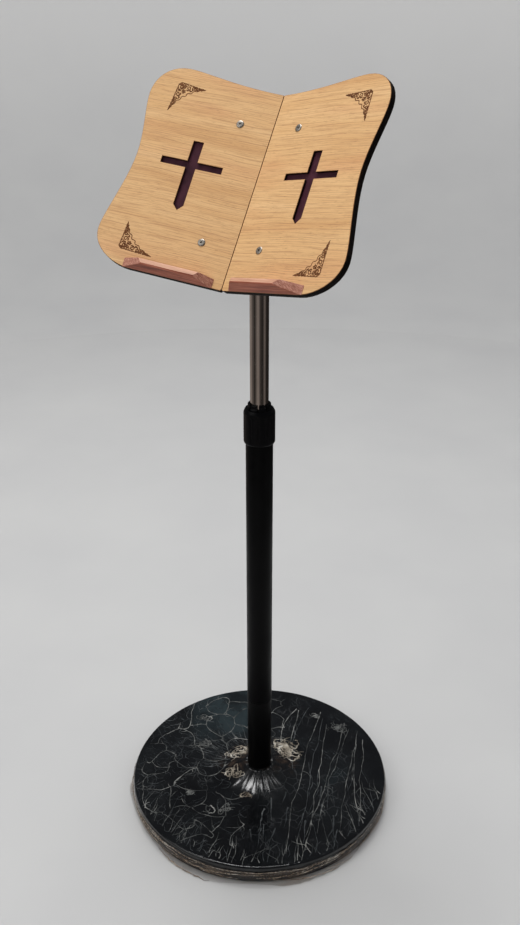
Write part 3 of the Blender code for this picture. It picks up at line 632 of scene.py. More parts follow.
def add_world():
    """Pale all round for sight and soft light, dim for reflections, as in a room beyond the cloth."""
    world = bpy.data.worlds.new("studio")
    bpy.context.scene.world = world
    world.use_nodes = True
    tree = world.node_tree
    pale, dim = tree.nodes["Background"], tree.nodes.new("ShaderNodeBackground")
    for ground, colour, strength in ((pale, (0.98, 0.985, 1.0, 1), 0.62), (dim, (0.9, 0.93, 1.0, 1), 0.09)):
        ground.inputs["Color"].default_value = colour
        ground.inputs["Strength"].default_value = strength
    path = tree.nodes.new("ShaderNodeLightPath")
    blend = tree.nodes.new("ShaderNodeMixShader")
    tree.links.new(path.outputs["Is Glossy Ray"], blend.inputs[0])
    tree.links.new(pale.outputs[0], blend.inputs[1])
    tree.links.new(dim.outputs[0], blend.inputs[2])
    tree.links.new(blend.outputs[0], tree.nodes["World Output"].inputs["Surface"])


def staged(name, profile, mat):
    """A turned piece of the studio, open along its profile."""
    mesh = turned_mesh(name, profile, closed=False)
    mesh.materials.append(mat)
    mesh.shade_smooth()
    piece = linked(name, mesh)
    piece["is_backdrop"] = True
    return piece


# What the polished tube mirrors round the stand: degrees anticlockwise from the camera's side, brightness.
ROOM_TONES = ((-180, 0.03), (-125, 0.34), (-95, 0.13), (-55, 0.02), (-15, 0.28), (12, 0.05), (42, 0.02),
              (66, 0.17), (90, 0.02), (180, 0.02))
ROOM_TINT = (1.0, 0.84, 0.76)


def room_card():
    """A ring on the floor that only mirrors see: the darker and lighter parts of a room."""
    look = Look("room_tones")
    glow = look.node("ShaderNodeEmission")
    axes = look.split(look.stretched((1, 1, 1), (0, 0, math.pi / 2 - CAMERA_AZIMUTH)))
    share = look.plus(look.maths("DIVIDE", look.maths("ARCTAN2", axes[1], axes[0]), TAU), 0.5)
    stops = [(degrees / 360 + 0.5, [t * tone for t in ROOM_TINT]) for degrees, tone in ROOM_TONES]
    look.tree.links.new(look.ramp(share, *stops), glow.inputs["Color"])
    look.tree.links.new(glow.outputs[0], look.tree.nodes["Material Output"].inputs["Surface"])
    card = staged("room_tones", [(0.95, 0.003), (9.0, 0.003)], look.mat)
    for ray in ("camera", "diffuse", "transmission", "volume_scatter", "shadow"):
        setattr(card, f"visible_{ray}", False)


SWEEP_START, SWEEP_REACH, SWEEP_HEIGHT = 2.6, 5.6, 3.5


def add_stage():
    """A round pale floor whose far edge sweeps up into a low wall all round."""
    pale = pale_floor()
    staged("floor", [(0, 0), (SWEEP_START, 0)], pale)
    turns = [math.pi / 2 * k / 16 for k in range(17)]
    wall = staged("sweep", [(SWEEP_START + (SWEEP_REACH - SWEEP_START) * math.sin(turn),
                             SWEEP_HEIGHT * (1 - math.cos(turn))) for turn in turns], pale)
    wall.visible_glossy = False
    room_card()


# -------- desk
ORNAMENT_LINE = 0.0017  # thickness of a stroke of 1.0
# For each leaf: where the ornament's corner is, how far its legs reach, how many degrees it is askew.
ORNAMENTS = {
    "right": (("upper", (0.1445, 0.2475), (0.0400, -0.0385), 3),
              ("lower", (0.1515, 0.0225), (0.0400, 0.0430), 0)),
    "left": (("upper", (0.1385, 0.2490), (0.0375, -0.0395), -7),
             ("lower", (0.1475, 0.0225), (0.0460, 0.0350), -3)),
}


def cut_side(face):
    """0 for the panel's two faces, 1 for its scorched and cut edges."""
    return 0 if abs(face.normal.z) > 0.97 else 1


def ledge_side(face):
    """0 for the stained faces, 1 for the mitred ends, 2 for the upward chamfer, which is painted paler as a
    highlight.
    """
    if abs(face.normal.x) > 0.45:
        return 1
    return 2 if face.normal.z > 0.3 and face.normal.y > 0.3 else 0


def leaf_pieces(name, side):
    place = LEAF[name]
    rivets = [f"rivet_{level}_{name}" for level in ("lower", "upper")]
    screws = [f"ledge_screw_{name}_{i}" for i in (1, 2)]
    holes = [(place.inverted() @ middle(node)).xy for node in rivets + screws]
    softened(f"front_panel_{name}", f"leaf_face_{name}", [BEECH[name], BURNT], "desk", "beech", 0.00055,
             place, pick=cut_side, holes=holes)
    softened(f"back_panel_{name}", f"leaf_board_{name}", [BOARD, BURNT], "desk", "dark_core", 0.0005,
             place, pick=cut_side, holes=holes)
    softened(f"inlay_{name}", f"cross_backing_{name}", MAROON, "desk", "maroon_sheet", 0.00008, place)
    softened(f"ledge_{name}", f"book_ledge_{name}", LEDGE_LOOKS, "desk", "red_wood", 0.0005, place, 3,
             pick=ledge_side)
    for node in rivets:
        rivet(node, place)
    for node in screws:
        ledge_screw(node, place)
    for level, (u, v), (along, up), askew in ORNAMENTS[name]:
        turn = Matrix.Translation((side * u, v, 0)) @ Matrix.Rotation(math.radians(askew), 4, "Z")
        ornament(f"ornament_{level}_{name}", -side * along, up, place @ turn)


def across_leaf(node, leaf):
    """The place of a fixing that goes square through a leaf, and how far its two ends are from the leaf."""
    x, y, _ = leaf.inverted() @ middle(node)
    heights = [(leaf.inverted() @ v.co).z for v in frame["nodes"][node].data.vertices]
    return leaf @ Matrix.Translation((x, y, 0)), min(heights), max(heights)


def ledge_screw(node, leaf):
    """A pan-head wood screw with a round driver recess, put in from behind the leaf."""
    place, back, tip = across_leaf(node, leaf)
    turned(f"wood_{node}", [
        (0, back + 0.0010, 0), (0.0009, back + 0.0010, 0), (0.0012, back, 0.0001), (0.0020, back, 0.0004),
        (0.0031, back + 0.0007, 0.0007), (0.0034, back + 0.0022, 0.0001), (0.0016, back + 0.0022, 0),
        (0.0016, tip - 0.0026, 0), (0, tip, 0),
    ], ZINC, "desk", "zinc", [node], place, 48)


def rivet(node, leaf):
    """A blind rivet: flat ring head, hollow middle with the broken stem end, shank and formed tail."""
    place, tail, _ = across_leaf(node, leaf)
    turned(f"blind_{node}", [
        (0, -0.0004, 0), (0.0006, -0.0004, 0.0002), (0.0009, -0.0009, 0), (0.0011, -0.0009, 0),
        (0.0012, 0.0012, 0.0002), (0.0036, 0.0012, 0.0006), (0.0049, 0.0006, 0.0005),
        (0.0049, 0.0001, 0.0001), (0.0024, 0.0001, 0), (0.0024, tail + 0.0050, 0),
        (0.0034, tail + 0.0042, 0.0006), (0.0034, tail + 0.0012, 0.0008), (0.0018, tail, 0.0004),
        (0, tail, 0),
    ], RIVET, "desk", "aluminium_rivet", [node], place, 48)


def spiral(cx, cy, size, turns, start, hand):
    """Points of a curl that winds in from its rim."""
    count = int(16 * turns) + 4
    shares = [k / (count - 1) for k in range(count)]
    turning = [(size * (1 - 0.80 * t), start + hand * turns * TAU * t) for t in shares]
    return [(cx + r * math.cos(angle), cy + r * math.sin(angle)) for r, angle in turning]


def drop(x0, y0, x1, y1, bend=0.0, steps=7):
    """A leaf from one point to another, drawn as a fat stroke that ends in a point."""
    dx, dy = x1 - x0, y1 - y0
    bows = [(k / (steps - 1), bend * math.sin(math.pi * k / (steps - 1))) for k in range(steps)]
    return [(x0 + dx * t - dy * bow, y0 + dy * t + dx * bow) for t, bow in bows]


# One leg of the ornament, in shares of its length: where each curl sits, how far off the edge, its size.
CURLS = ((0.385, 0.112, 0.086), (0.545, 0.078, 0.062), (0.662, 0.058, 0.046), (0.755, 0.043, 0.035),
         (0.832, 0.032, 0.027), (0.895, 0.023, 0.019))


def ornament_strokes():
    """Strokes as (points, thickness at start, thickness at end) with the corner at (0, 0)."""
    leg = []
    for i, (x, y, size) in enumerate(CURLS):
        hand = 1 if i % 2 else -1
        leg.append((spiral(x, y, size, 1.25, math.pi + hand * 0.9, hand), 1.0, 0.7))
        leaf = drop(x + size * 0.9, y - hand * size * 0.9, x + size * 2.0, y - hand * size * 0.35, 0.25)
        leg.append((leaf, 1.5, 0.4))
        leg.append((drop(x - size * 0.2, y + size * 1.15, x + size * 1.5, y + size * 0.75, -0.22), 1.3, 0.35))
    leg.append((drop(0.925, 0.020, 1.0, 0.0, 0.1), 1.4, 0.3))
    stem = [(0.04 + 0.90 * k / 40, 0.010 + 0.020 * math.sin(k * 1.15) * (1 - k / 44)) for k in range(41)]
    leg.append((stem, 0.8, 0.5))
    leg.append((drop(0.235, 0.035, 0.325, 0.050, 0.5), 1.5, 0.5))
    for x in (0.06, 0.17, 0.28, 0.40, 0.52, 0.63, 0.73, 0.82):
        leg.append((drop(x, -0.004, x + 0.055, -0.022 * (1.1 - x), 0.35, 5), 1.1, 0.4))
    leg.append((spiral(0.285, 0.235, 0.050, 1.1, 0.4, 1), 1.0, 0.7))
    leg.append((spiral(0.245, 0.110, 0.040, 1.0, 2.0, -1), 1.0, 0.7))
    strokes = leg + [([(y, x) for x, y in points], a, b) for points, a, b in leg]
    strokes.append((spiral(0.135, 0.135, 0.085, 1.7, math.radians(225), 1), 1.1, 0.8))
    strokes.append((spiral(0.052, 0.052, 0.032, 0.9, 0.8, 1), 1.2, 0.8))
    strokes.append((drop(0.205, 0.205, 0.275, 0.275, 0.0), 1.8, 0.5))
    hollow = []
    for k in range(45):
        t = k / 44
        wave = 0.022 * math.sin(13 * math.pi * t) * math.sin(math.pi * t)
        hollow.append(((1 - t) ** 2 + 0.50 * t * (1 - t) + wave, t**2 + 0.50 * t * (1 - t) + wave))
    strokes.append((hollow, 0.7, 0.7))
    return strokes


def ornament(name, along_x, along_y, place):
    """A burnt corner ornament: scrolls that shrink from the corner towards the tips of its two legs."""
    curve = bpy.data.curves.new(name, "CURVE")
    curve.dimensions = "3D"
    curve.bevel_depth = ORNAMENT_LINE / 2
    curve.bevel_resolution = 1
    curve.use_fill_caps = True
    for points, start, end in ornament_strokes():
        spline = curve.splines.new("POLY")
        spline.points.add(len(points) - 1)
        for k, (x, y) in enumerate(points):
            t = k / (len(points) - 1)
            spline.points[k].co = (along_x * x, along_y * y, 0, 1)
            spline.points[k].radius = start + (end - start) * t
    drawn = linked(name, curve)
    graph = bpy.context.evaluated_depsgraph_get()
    mesh = bpy.data.meshes.new_from_object(drawn.evaluated_get(graph))
    bpy.data.objects.remove(drawn, do_unlink=True)
    mesh.transform(Matrix.Diagonal((1, 1, 0.12, 1)))
    mesh.materials.clear()
    finish_piece(name, mesh, ORNAMENT, "desk", [], "dark_core", place, 60)


def desk_pieces():
    for name, side in SIDES.items():
        leaf_pieces(name, side)
    softened("back_bracket", "folded_bracket", COAT, "desk", "black_coat", 0.0004)
    softened("tilt_lug", "tilt_tongue", COAT, "desk", "black_coat", 0.0005)


# -------- head
def lobed_shape(outer, depth, lobes):
    """Moves a turned point so that its outer part waves in and out in lobes."""
    def shape(angle, r, z):
        share = within((r / outer - 0.35) / 0.65)
        return r - share * depth * (1 - math.cos(lobes * angle)) / 2, z

    return shape


def washer(name, node, mat, slot, outer, low, high, place):
    turned(name, [
        (outer, high, 0.0003), (outer, low, 0.0003), (0.0043, low, 0), (0.0043, high, 0),
    ], mat, "head", slot, [node], place, 64)


def head_pieces():
    low, high, outer = bottom("head_socket"), top("head_socket"), radius("head_socket")
    cap = top("mast_tube") + 0.0003
    socket = turned("swivel_socket", [
        (0.0044, high, 0), (outer, high, 0.0014), (outer, low + 0.0065, 0), (outer + 0.0006, low + 0.006, 0),
        (outer + 0.0006, low, 0.0008), (MAST_BORE, low, 0.0004), (MAST_BORE, cap, 0), (0.0044, cap, 0),
    ], COAT, "head", "black_coat", ["head_socket"])
    axis = Matrix.Translation((0, 0, JOINTS["swivel_screw_turn"]["pos_m"][2])) @ ALONG_Y
    bit = [(0, 0.03), (0.0032, 0.03), (0.0032, 0.010), (0, 0.010)]
    drill = linked("drill", turned_mesh("drill", bit, 32))
    drill.matrix_world = axis
    carve(socket, [drill])

    turned("swivel_hand_screw", [
        (0, 0.0322, 0), (0.0040, 0.0322, 0.0006), (0.0046, 0.0316, 0.0004), (0.0120, 0.0318, 0.0014),
        (0.0120, 0.0222, 0.0014), (0.0062, 0.0218, 0.0004), (0.0060, 0.0186, 0.0006), (0.0029, 0.0184, 0),
        (0.0029, 0.0136, 0.0003), (0.0020, 0.0129, 0), (0, 0.0129, 0),
    ], MOULDING, "swivel_lock", "black_plastic", ["swivel_screw"], axis, 144,
        lobed_shape(0.0120, 0.0022, 6))

    softened("yoke", "tilt_yoke", COAT, "head", "black_coat", 0.0006, segments=3)
    pivot = Matrix.Translation(PIVOT) @ ALONG_X
    seat = top("yoke_screw") - 0.0028
    turned("yoke_cap_screw", [
        (0, seat + 0.0010, 0), (0.0022, seat + 0.0010, 0), (0.0025, seat + 0.0028, 0.0002),
        (0.0050, seat + 0.0028, 0.0012), (0.0060, seat, 0.0004), (0.0040, seat, 0),
        (0.0040, bottom("yoke_screw"), 0.0004), (0, bottom("yoke_screw"), 0),
    ], ZINC, "head", "zinc", ["yoke_screw"], steps=48)
    for name, side in SIDES.items():
        washer(f"friction_disc_{name}", f"friction_washer_{name}", MOULDING, "black_plastic", 0.0105,
               *sorted((side * 0.00515, side * 0.00635)), pivot)
    turned("carriage_bolt", [
        (0, 0.0300, 0), (0.0040, 0.0300, 0.0006), (0.0040, -0.0118, 0), (0.0080, -0.0118, 0.0003),
        (0.0078, -0.0140, 0.0010), (0.0050, -0.0168, 0.0012), (0, -0.0174, 0),
    ], ZINC, "head", "zinc", ["tilt_bolt"], pivot, 64)
    washer("knob_side_washer", "knob_washer", ZINC, "zinc", 0.0095, 0.0118, 0.0132, pivot)
    turned("star_knob", [
        (0.0043, 0.0302, 0), (0.0052, 0.0313, 0), (0.0075, 0.0313, 0.0008), (0.0095, 0.0300, 0.001),
        (0.0210, 0.0300, 0.0028), (0.0210, 0.0150, 0.0028), (0.0100, 0.0150, 0.001), (0.0090, 0.0135, 0.0004),
        (0.0043, 0.0135, 0),
    ], MOULDING, "tilt_lock", "black_plastic", ["tilt_knob"], pivot, 200, lobed_shape(0.021, 0.0045, 5))


# -------- column
def tube_piece(name, node, mat, body, slot, bore, edge=0.0005):
    outer, low, high = radius(node), bottom(node), top(node)
    turned(name, [
        (outer, high, edge), (outer, low, edge), (bore, low, 0.0002), (bore, high, 0.0002),
    ], mat, body, slot, [node], steps=128)


def column_pieces():
    tube_piece("polished_mast", "mast_tube", STEEL, "mast", "stainless", 0.0112)
    tube_piece("base_post_tube", "base_post", POST_COAT, "stand", "black_coat", 0.0154, 0.0008)
    tube_piece("column_outer_tube", "column_tube", COAT, "stand", "black_coat", 0.01725, 0.0013)
    clamp_pieces()


# The collet's slots: size of each cut, its height, and degrees about Z.
SLOT_SIZE, SLOT_HEIGHT, SLOT_TURN = (0.05, 0.0021, 0.0240), 0.6600, -64


def clamp_pieces():
    low, high, outer = bottom("clamp_nut"), top("clamp_nut"), radius("clamp_nut")
    half_way = (low + high) / 2
    flutes, flute_half, flute_width, flute_depth = 12, 0.0160, 0.0015, 0.00040

    def fluted(angle, r, z):
        """Shallow finger grooves round the nut, ending short of its chamfers."""
        if r < outer - 0.0008:
            return r, z
        beat = abs((angle * flutes / TAU + 0.5) % 1.0 - 0.5) * TAU * outer / flutes
        dip = flute_depth * max(0.0, 1 - (beat / flute_width) ** 2)
        fade = within((flute_half - abs(z - half_way)) / flute_width)
        return r - dip * fade, z

    column, seat = radius("column_tube") + 0.0003, top("column_tube")
    wall = [(outer, half_way + flute_half - k * 0.001, 0) for k in range(33)]
    turned("clamp_collar", [
        (0.0187, high, 0.0003), (0.0196, high, 0.0004), (outer, high - 0.0050, 0.0014), *wall,
        (outer, low + 0.0016, 0.0010), (0.0209, low, 0.0004), (column, low, 0.0003),
        (column, seat + 0.0050, 0), (0.0184, seat + 0.0070, 0), (0.0182, high, 0.0002),
    ], MOULDING, "clamp", "black_plastic", ["clamp_nut"], steps=288, shape=fluted)

    crown, foot = top("clamp_collet"), bottom("clamp_collet")
    collet = turned("collet_crown", [
        (0.0157, crown, 0.0011), (0.0162, crown - 0.0024, 0.0010), (0.0156, crown - 0.0044, 0.0006),
        (0.0174, high + 0.0011, 0.0005), (0.0179, seat + 0.0045, 0),
        (0.0188, seat + 0.0042, 0), (0.0188, seat + 0.0003, 0), (0.01695, seat + 0.0003, 0),
        (0.01695, foot, 0), (MAST_BORE, foot, 0), (MAST_BORE, crown - 0.0016, 0.0004),
        (MAST_BORE + 0.0010, crown, 0.0004),
    ], MOULDING, "stand", "black_plastic", ["clamp_collet"], steps=144)
    slots = []
    for k in range(4):
        turn = Matrix.Rotation(math.radians(SLOT_TURN) + k * TAU / 8, 4, "Z")
        slots.append(box_object(f"slot_{k}", SLOT_SIZE, turn @ Matrix.Translation((0, 0, SLOT_HEIGHT))))
    carve(collet, slots)


# -------- base
HUB_SPREAD = 0.085    # how far from the axis the film's low cone starts to rise
FILM_HUB = 0.0235     # inside this the film is at its full height
FILM_INNER = 0.0190   # the film's inner edge, round the post
FILM_THICK = 0.0007
RIM_RISE = 0.0278     # the film's flat top over the underside of the base disc
RIM_ARC = 0.0030      # how the film is rounded at its rim


def ripple(x, y, scale, seed=0.0):
    return noise.noise(Vector((x * scale, y * scale, seed)))


def base_pieces():
    outer = radius("marble_film")
    low, rim_top, hub_top = bottom("marble_film"), bottom("base_disc") + RIM_RISE, top("marble_film")

    def height(r):
        climb = max(0.0, (HUB_SPREAD - r) / (HUB_SPREAD - FILM_HUB))
        return rim_top + (hub_top - rim_top) * min(1.0, climb) ** 2

    rings = [FILM_INNER, 0.0205, 0.0220]
    r = FILM_HUB
    while r < outer - 0.0040:
        rings.append(r)
        r += 0.0018
    profile = [(r, height(r)) for r in rings]
    across, shoulder = outer - RIM_ARC, rim_top - RIM_ARC
    for k in range(7):
        turn = math.pi / 2 * k / 6
        profile.append((across + RIM_ARC * math.sin(turn), shoulder + RIM_ARC * math.cos(turn)))
    profile += [(outer, shoulder - (shoulder - low) * k / 10) for k in range(1, 11)]
    profile += [(outer - FILM_THICK, low), (outer - FILM_THICK, shoulder)]
    profile += [(r, height(r) - FILM_THICK) for r in rings[::-1]]

    def draped(angle, r, z):
        """Pleats round the hub, slack over the disc, small dents at the rim."""
        x, y = r * math.cos(angle), r * math.sin(angle)
        near = max(0.0, 1 - abs(r - 0.036) / 0.022)
        pleat = near * 0.00075 * ripple(math.cos(angle), math.sin(angle), 5, r * 20)
        slack = 0.00022 * ripple(x, y, 26) + 0.00010 * ripple(x, y, 80, 4.0)
        edge = within((outer - r) / 0.01)
        dent = 0.00035 * ripple(x, y, 40, z * 60) * (1 - edge)
        lift = within((r - FILM_INNER) / 0.004)
        return r + dent, z + (pleat + slack * edge) * lift

    mesh = turned_mesh("marble_skin", profile, 320, True, draped)
    skin = finish_piece("marble_skin", mesh, MARBLE, "stand", ["marble_film"], "marble_film", None, 60)

    def film_at(x, y):
        r = max(FILM_INNER, math.hypot(x, y))
        return Vector((x, y, draped(math.atan2(y, x), r, height(r))[1]))

    print_veins(VEIN_INKS, across - 0.0004, film_at)
    rim_film(outer)
    for number in range(1, 5):
        node = f"foot_{number}"
        x, y, _ = middle(node)
        turned(f"rubber_pad_{number}", [
            (0, top(node), 0), (0.0125, top(node), 0.0003), (0.0140, 0, 0.0005), (0.0090, 0, 0.0002),
            (0.0086, 0.0005, 0.0001), (0, 0.0005, 0),
        ], RUBBER, "stand", "rubber", [node], Matrix.Translation((x, y, 0)), 64)


# Where the print has its loose loops, from the hub: across and away, how far they spread, how many.
CREAM_LOOPS = (((0.040, 0.052), 0.019, 9), ((0.050, 0.024), 0.019, 6), ((-0.036, 0.030), 0.016, 9),
               ((-0.038, -0.020), 0.014, 5), ((-0.020, -0.062), 0.008, 2))
GREY_LOOPS = (((-0.058, -0.090), 0.012, 6), ((-0.112, -0.052), 0.008, 5), ((0.138, 0.100), 0.013, 8),
              ((0.100, 0.128), 0.008, 4), ((-0.090, 0.060), 0.012, 4), ((-0.094, 0.130), 0.008, 3))


def wavering(start, end, bow, wobble, seed):
    """Points from start to end, bowed to one side and shaken by a soft noise that dies away at both ends."""
    (x0, y0), (x1, y1) = start, end
    dx, dy = x1 - x0, y1 - y0
    length = max(1e-6, math.hypot(dx, dy))
    count = max(4, int(length / 0.0020))
    points = []
    for k in range(count + 1):
        t = k / count
        x, y = x0 + dx * t, y0 + dy * t
        shake = ripple(x, y, 26, seed) + 0.20 * ripple(x, y, 85, seed) + 0.06 * ripple(x, y, 300, seed)
        drift = bow * math.sin(math.pi * t) + wobble * shake * min(1.0, 3 * t, 3 * (1 - t))
        points.append((x - dy / length * drift, y + dx / length * drift))
    return points


def cell_borders(chance, spacing, allowed):
    """Borders between the cells round a jittered grid of points: the corners and ends of a cracked web."""
    seeds = []
    half = int(0.24 / spacing) + 1
    for i in range(-half, half + 1):
        for j in range(-half, half + 1):
            x = i + 0.5 * (j % 2) + chance.uniform(-0.42, 0.42)
            y = j * 0.87 + chance.uniform(-0.42, 0.42)
            seeds.append(Vector((x, y)) * spacing)
    points, _, faces, *_ = delaunay_2d_cdt(seeds, [], [], 0, 1e-6)
    centres, sides = [], {}
    for number, face in enumerate(faces):
        a, b, c = (points[i] for i in face)
        opposite = ((a, b - c), (b, c - a), (c, a - b))
        twice = 2 * sum(p.x * side.y for p, side in opposite)
        centres.append((sum(p.length_squared * side.y for p, side in opposite) / twice,
                        -sum(p.length_squared * side.x for p, side in opposite) / twice))
        for one, two in zip(face, face[1:] + face[:1]):
            sides.setdefault((min(one, two), max(one, two)), []).append(number)
    borders = [(centres[pair[0]], centres[pair[1]]) for pair in sides.values() if len(pair) == 2]
    return [(p, q) for p, q in borders if allowed(*p) and allowed(*q)]


def round_loop(chance, cx, cy, size, seed):
    """Points of a loose petal-shaped loop, now and then left open."""
    stretch, lean, closed = chance.uniform(0.40, 1.0), chance.uniform(0, TAU), chance.uniform(0.62, 1.0)
    centre, tilt = Vector((cx, cy)), Matrix.Rotation(lean, 2)
    points = []
    for k in range(33):
        angle = TAU * min(1.0, closed + 0.1) * k / 32
        c, s = math.cos(angle), math.sin(angle)
        r = size * (1 + 0.55 * ripple(c, s, 1.4, seed) + 0.30 * ripple(c, s, 4.5, seed))
        points.append(tuple(centre + tilt @ Vector((r * c, r * s * stretch))))
    return points


def vein_strokes(limit):
    """Every vein as (ink, points, width at start, width at end), across and away from the hub."""
    chance = random.Random(5)
    between = chance.uniform
    strokes = []

    def vein(start, end, bow, wobble, wide, narrow, ink="grey", twigs=0):
        """One wavering line, with short twigs that leave it on either side."""
        seed = between(0, 90)
        points = wavering(start, end, bow, wobble, seed)
        strokes.append((ink, points, wide, narrow))
        for _ in range(twigs):
            k = chance.randrange(2, len(points) - 1)
            angle = math.atan2(points[k][1] - points[k - 1][1], points[k][0] - points[k - 1][0])
            angle += chance.choice((-1, 1)) * between(0.35, 1.0)
            reach = between(0.006, 0.024)
            tip = (points[k][0] + reach * math.cos(angle), points[k][1] + reach * math.sin(angle))
            strokes.append((ink, wavering(points[k], tip, 0.0015, 0.003, seed + 3), wide * 0.7, 0.0002))

    def at(turn, r):
        """The point so many degrees round from the right, at r from the hub."""
        return r * math.cos(math.radians(turn)), r * math.sin(math.radians(turn))

    def left_of_fan(x, y):
        in_fan = x > -0.02 and y < 0.05
        return not in_fan and x < 0.06 and 0.040 < math.hypot(x, y) < limit

    for p, q in cell_borders(chance, 0.042, left_of_fan):
        if chance.random() < 0.84:
            bow = between(-0.25, 0.25) * math.dist(p, q)
            wide = between(0.0006, 0.0014)
            vein(p, q, bow, 0.006, wide, wide * between(0.5, 1.0), twigs=chance.choice((0, 0, 1, 2)))
    for p, q in cell_borders(chance, 0.019, lambda x, y: left_of_fan(x, y) and x + 0.4 * y < -0.03):
        if chance.random() < 0.36:
            vein(p, q, between(-0.3, 0.3) * math.dist(p, q), 0.004, 0.0008, 0.0004, "faint", 1)
    for k in range(12):
        share = k / 11
        start = at(68 - 54 * share + between(-3, 3), limit * between(0.78, 0.95))
        end = at(-88 + 66 * share**1.6 + between(-3, 3), limit * between(0.80, 0.97))
        if share < 0.25:
            end = (0.034 + 0.11 * share, 0.040 - 0.26 * share)
        wide, bow = between(0.0009, 0.0015), between(-0.012, 0.004)
        vein(start, end, bow, 0.006, wide, 0.0006, chance.choice(("grey", "grey", "faint")), 3)
        if k % 2 == 0:
            continue
        fork = tuple(Vector(start).lerp(Vector(end), 0.4))
        tip = (fork[0] + between(-0.030, 0.015), fork[1] - between(0.05, 0.11))
        vein(fork, tip, 0.004, 0.007, 0.0009, 0.0003, "faint", 1)
    for k in range(62):
        x, y = at(-155 + 138 * k / 61 + between(-1.5, 1.5), limit - between(0, 0.010))
        length = between(0.012, 0.062)
        lean = 0.12 * length - 0.35 * x * length / limit + between(-0.006, 0.006)
        bow, wide = between(-0.003, 0.003), between(0.0007, 0.0012)
        ink, twigs = chance.choice(("grey", "faint")), chance.choice((0, 1, 1, 2))
        vein((x, y), (x + lean, y + length), bow, 0.005, wide, 0.0002, ink, twigs)
    for k in range(26):
        turn = 98 + 76 * k / 25 + between(-2, 2)
        start = at(turn, between(0.045, 0.075))
        end = at(turn + between(-9, 3), between(0.100, 0.160))
        vein(start, end, between(-0.004, 0.008), 0.003, 0.0010, 0.0003, "faint")
    for k in range(20):
        x, y = between(-0.03, 0.13), between(-0.14, -0.04)
        tip = (x + between(-0.012, 0.004), y - between(0.02, 0.05))
        vein((x, y), tip, 0.0, 0.004, 0.0024, 0.0003, "faint")
    for ink, clusters in (("cream", CREAM_LOOPS), ("grey", GREY_LOOPS)):
        for (cx, cy), spread, count in clusters:
            for _ in range(count):
                x, y = cx + chance.gauss(0, 0.5) * spread, cy + chance.gauss(0, 0.4) * spread
                size = spread * between(0.30, 0.75)
                strokes.append((ink, round_loop(chance, x, y, size, between(0, 90)),
                                between(0.0005, 0.0010), between(0.0008, 0.0022)))
                angle = between(0, TAU)
                tip = (x + spread * math.cos(angle), y + spread * math.sin(angle))
                strokes.append((ink, wavering((x, y), tip, 0.002, 0.004, x), 0.0012, 0.0003))
    return strokes


def closed_strip(cage, rows):
    """A thin closed strip through rows of four corners."""
    rings = [[cage.verts.new(corner) for corner in row] for row in rows]
    for one, two in zip(rings, rings[1:]):
        for i in range(4):
            j = (i + 1) % 4
            cage.faces.new((one[i], two[i], two[j], one[j]))
    cage.faces.new(rings[0])
    cage.faces.new(rings[-1][::-1])


def strip_piece(name, cage, mat, slot):
    bmesh.ops.recalc_face_normals(cage, faces=cage.faces)
    finish_piece(name, mesh_of(name, cage), mat, "stand", [], slot, None, 40)


# How far each ink stands proud of the film, and how far its strips reach down into it.
INK_PROUD = {"faint": 0.00012, "grey": 0.00015, "cream": 0.00018}
INK_ROOT = Vector((0, 0, 0.0001))


def print_veins(inks, limit, film_at):
    """Lay the veins on the film as thin strips of ink, one mesh for each ink."""
    turn = Matrix.Rotation(VEIN_TURN, 2)
    cages = {ink: bmesh.new() for ink in inks}
    for ink, points, wide, narrow in vein_strokes(limit):
        rows = []
        for k, (x, y) in enumerate(points):
            ahead, behind = Vector(points[min(k + 1, len(points) - 1)]), Vector(points[max(k - 1, 0)])
            way = (ahead - behind).normalized()
            half = (wide + (narrow - wide) * k / (len(points) - 1)) / 2 * (1 + 0.9 * ripple(x, y, 210, 6.0))
            sides = []
            for sign in (1, -1):
                spot = turn @ Vector((x - sign * way.y * half, y + sign * way.x * half))
                if spot.length > limit:
                    spot *= limit / spot.length
                sides.append(film_at(spot.x, spot.y))
            proud = Vector((0, 0, INK_PROUD[ink]))
            rows.append([sides[0] + proud, sides[1] + proud, sides[1] - INK_ROOT, sides[0] - INK_ROOT])
        closed_strip(cages[ink], rows)
    for ink, mat in inks.items():
        strip_piece(f"printed_veins_{ink}", cages[ink], mat, "marble_film")


def rim_film(wall):
    """A strip of clear film round the rim: it hugs the wall, creases, and flares where it is loose."""
    columns, rows = 840, 16
    low, high = 0.0012, 0.0235

    def spot(angle, t, off=0.0):
        """A point of the film at an angle round the hub, t of the way up from its hem."""
        c, s = math.cos(angle), math.sin(angle)
        facing = math.cos(angle - VEIN_TURN + math.pi / 2 + 0.55)
        loose = within(0.30 + 0.75 * facing, 0.05) * within(0.55 + 1.5 * ripple(c, s, 2.6, 1.7))
        crest = high + 0.0030 * ripple(c, s, 5, 3.1) + 0.0012 * ripple(c, s, 28, 9.0)
        flare = (1 - t) ** 2.2 * 0.0085 * loose
        fold = 0.0030 * abs(ripple(c, s, 13, 5.0 + t * 0.5)) * (1 - 0.7 * t)
        crinkle = 0.0011 * abs(ripple(c, s, 42, 2.0 + t * 2.5))
        crinkle += 0.0005 * abs(ripple(c, s, 110, 8.0 + t * 6))
        lip = 0.0007 * max(0.0, (t - 0.85) / 0.15)
        r = wall + 0.0005 + flare + (fold + crinkle) * (0.25 + loose) + lip + off
        return Vector((r * c, r * s, low + (crest - low) * t - 0.0005 * loose * (1 - t)))

    cage = bmesh.new()
    grid = [[cage.verts.new(spot(TAU * k / columns, i / (rows - 1))) for i in range(rows)]
            for k in range(columns)]
    for one, two in zip(grid, grid[1:] + grid[:1]):
        for i in range(rows - 1):
            cage.faces.new((one[i], two[i], two[i + 1], one[i + 1]))
    mesh = mesh_of("clear_rim_film", cage)
    film = finish_piece("clear_rim_film", mesh, CLEAR, "stand", ["rim_film"], "clear_film", None, 180)
    crease_lines(spot)


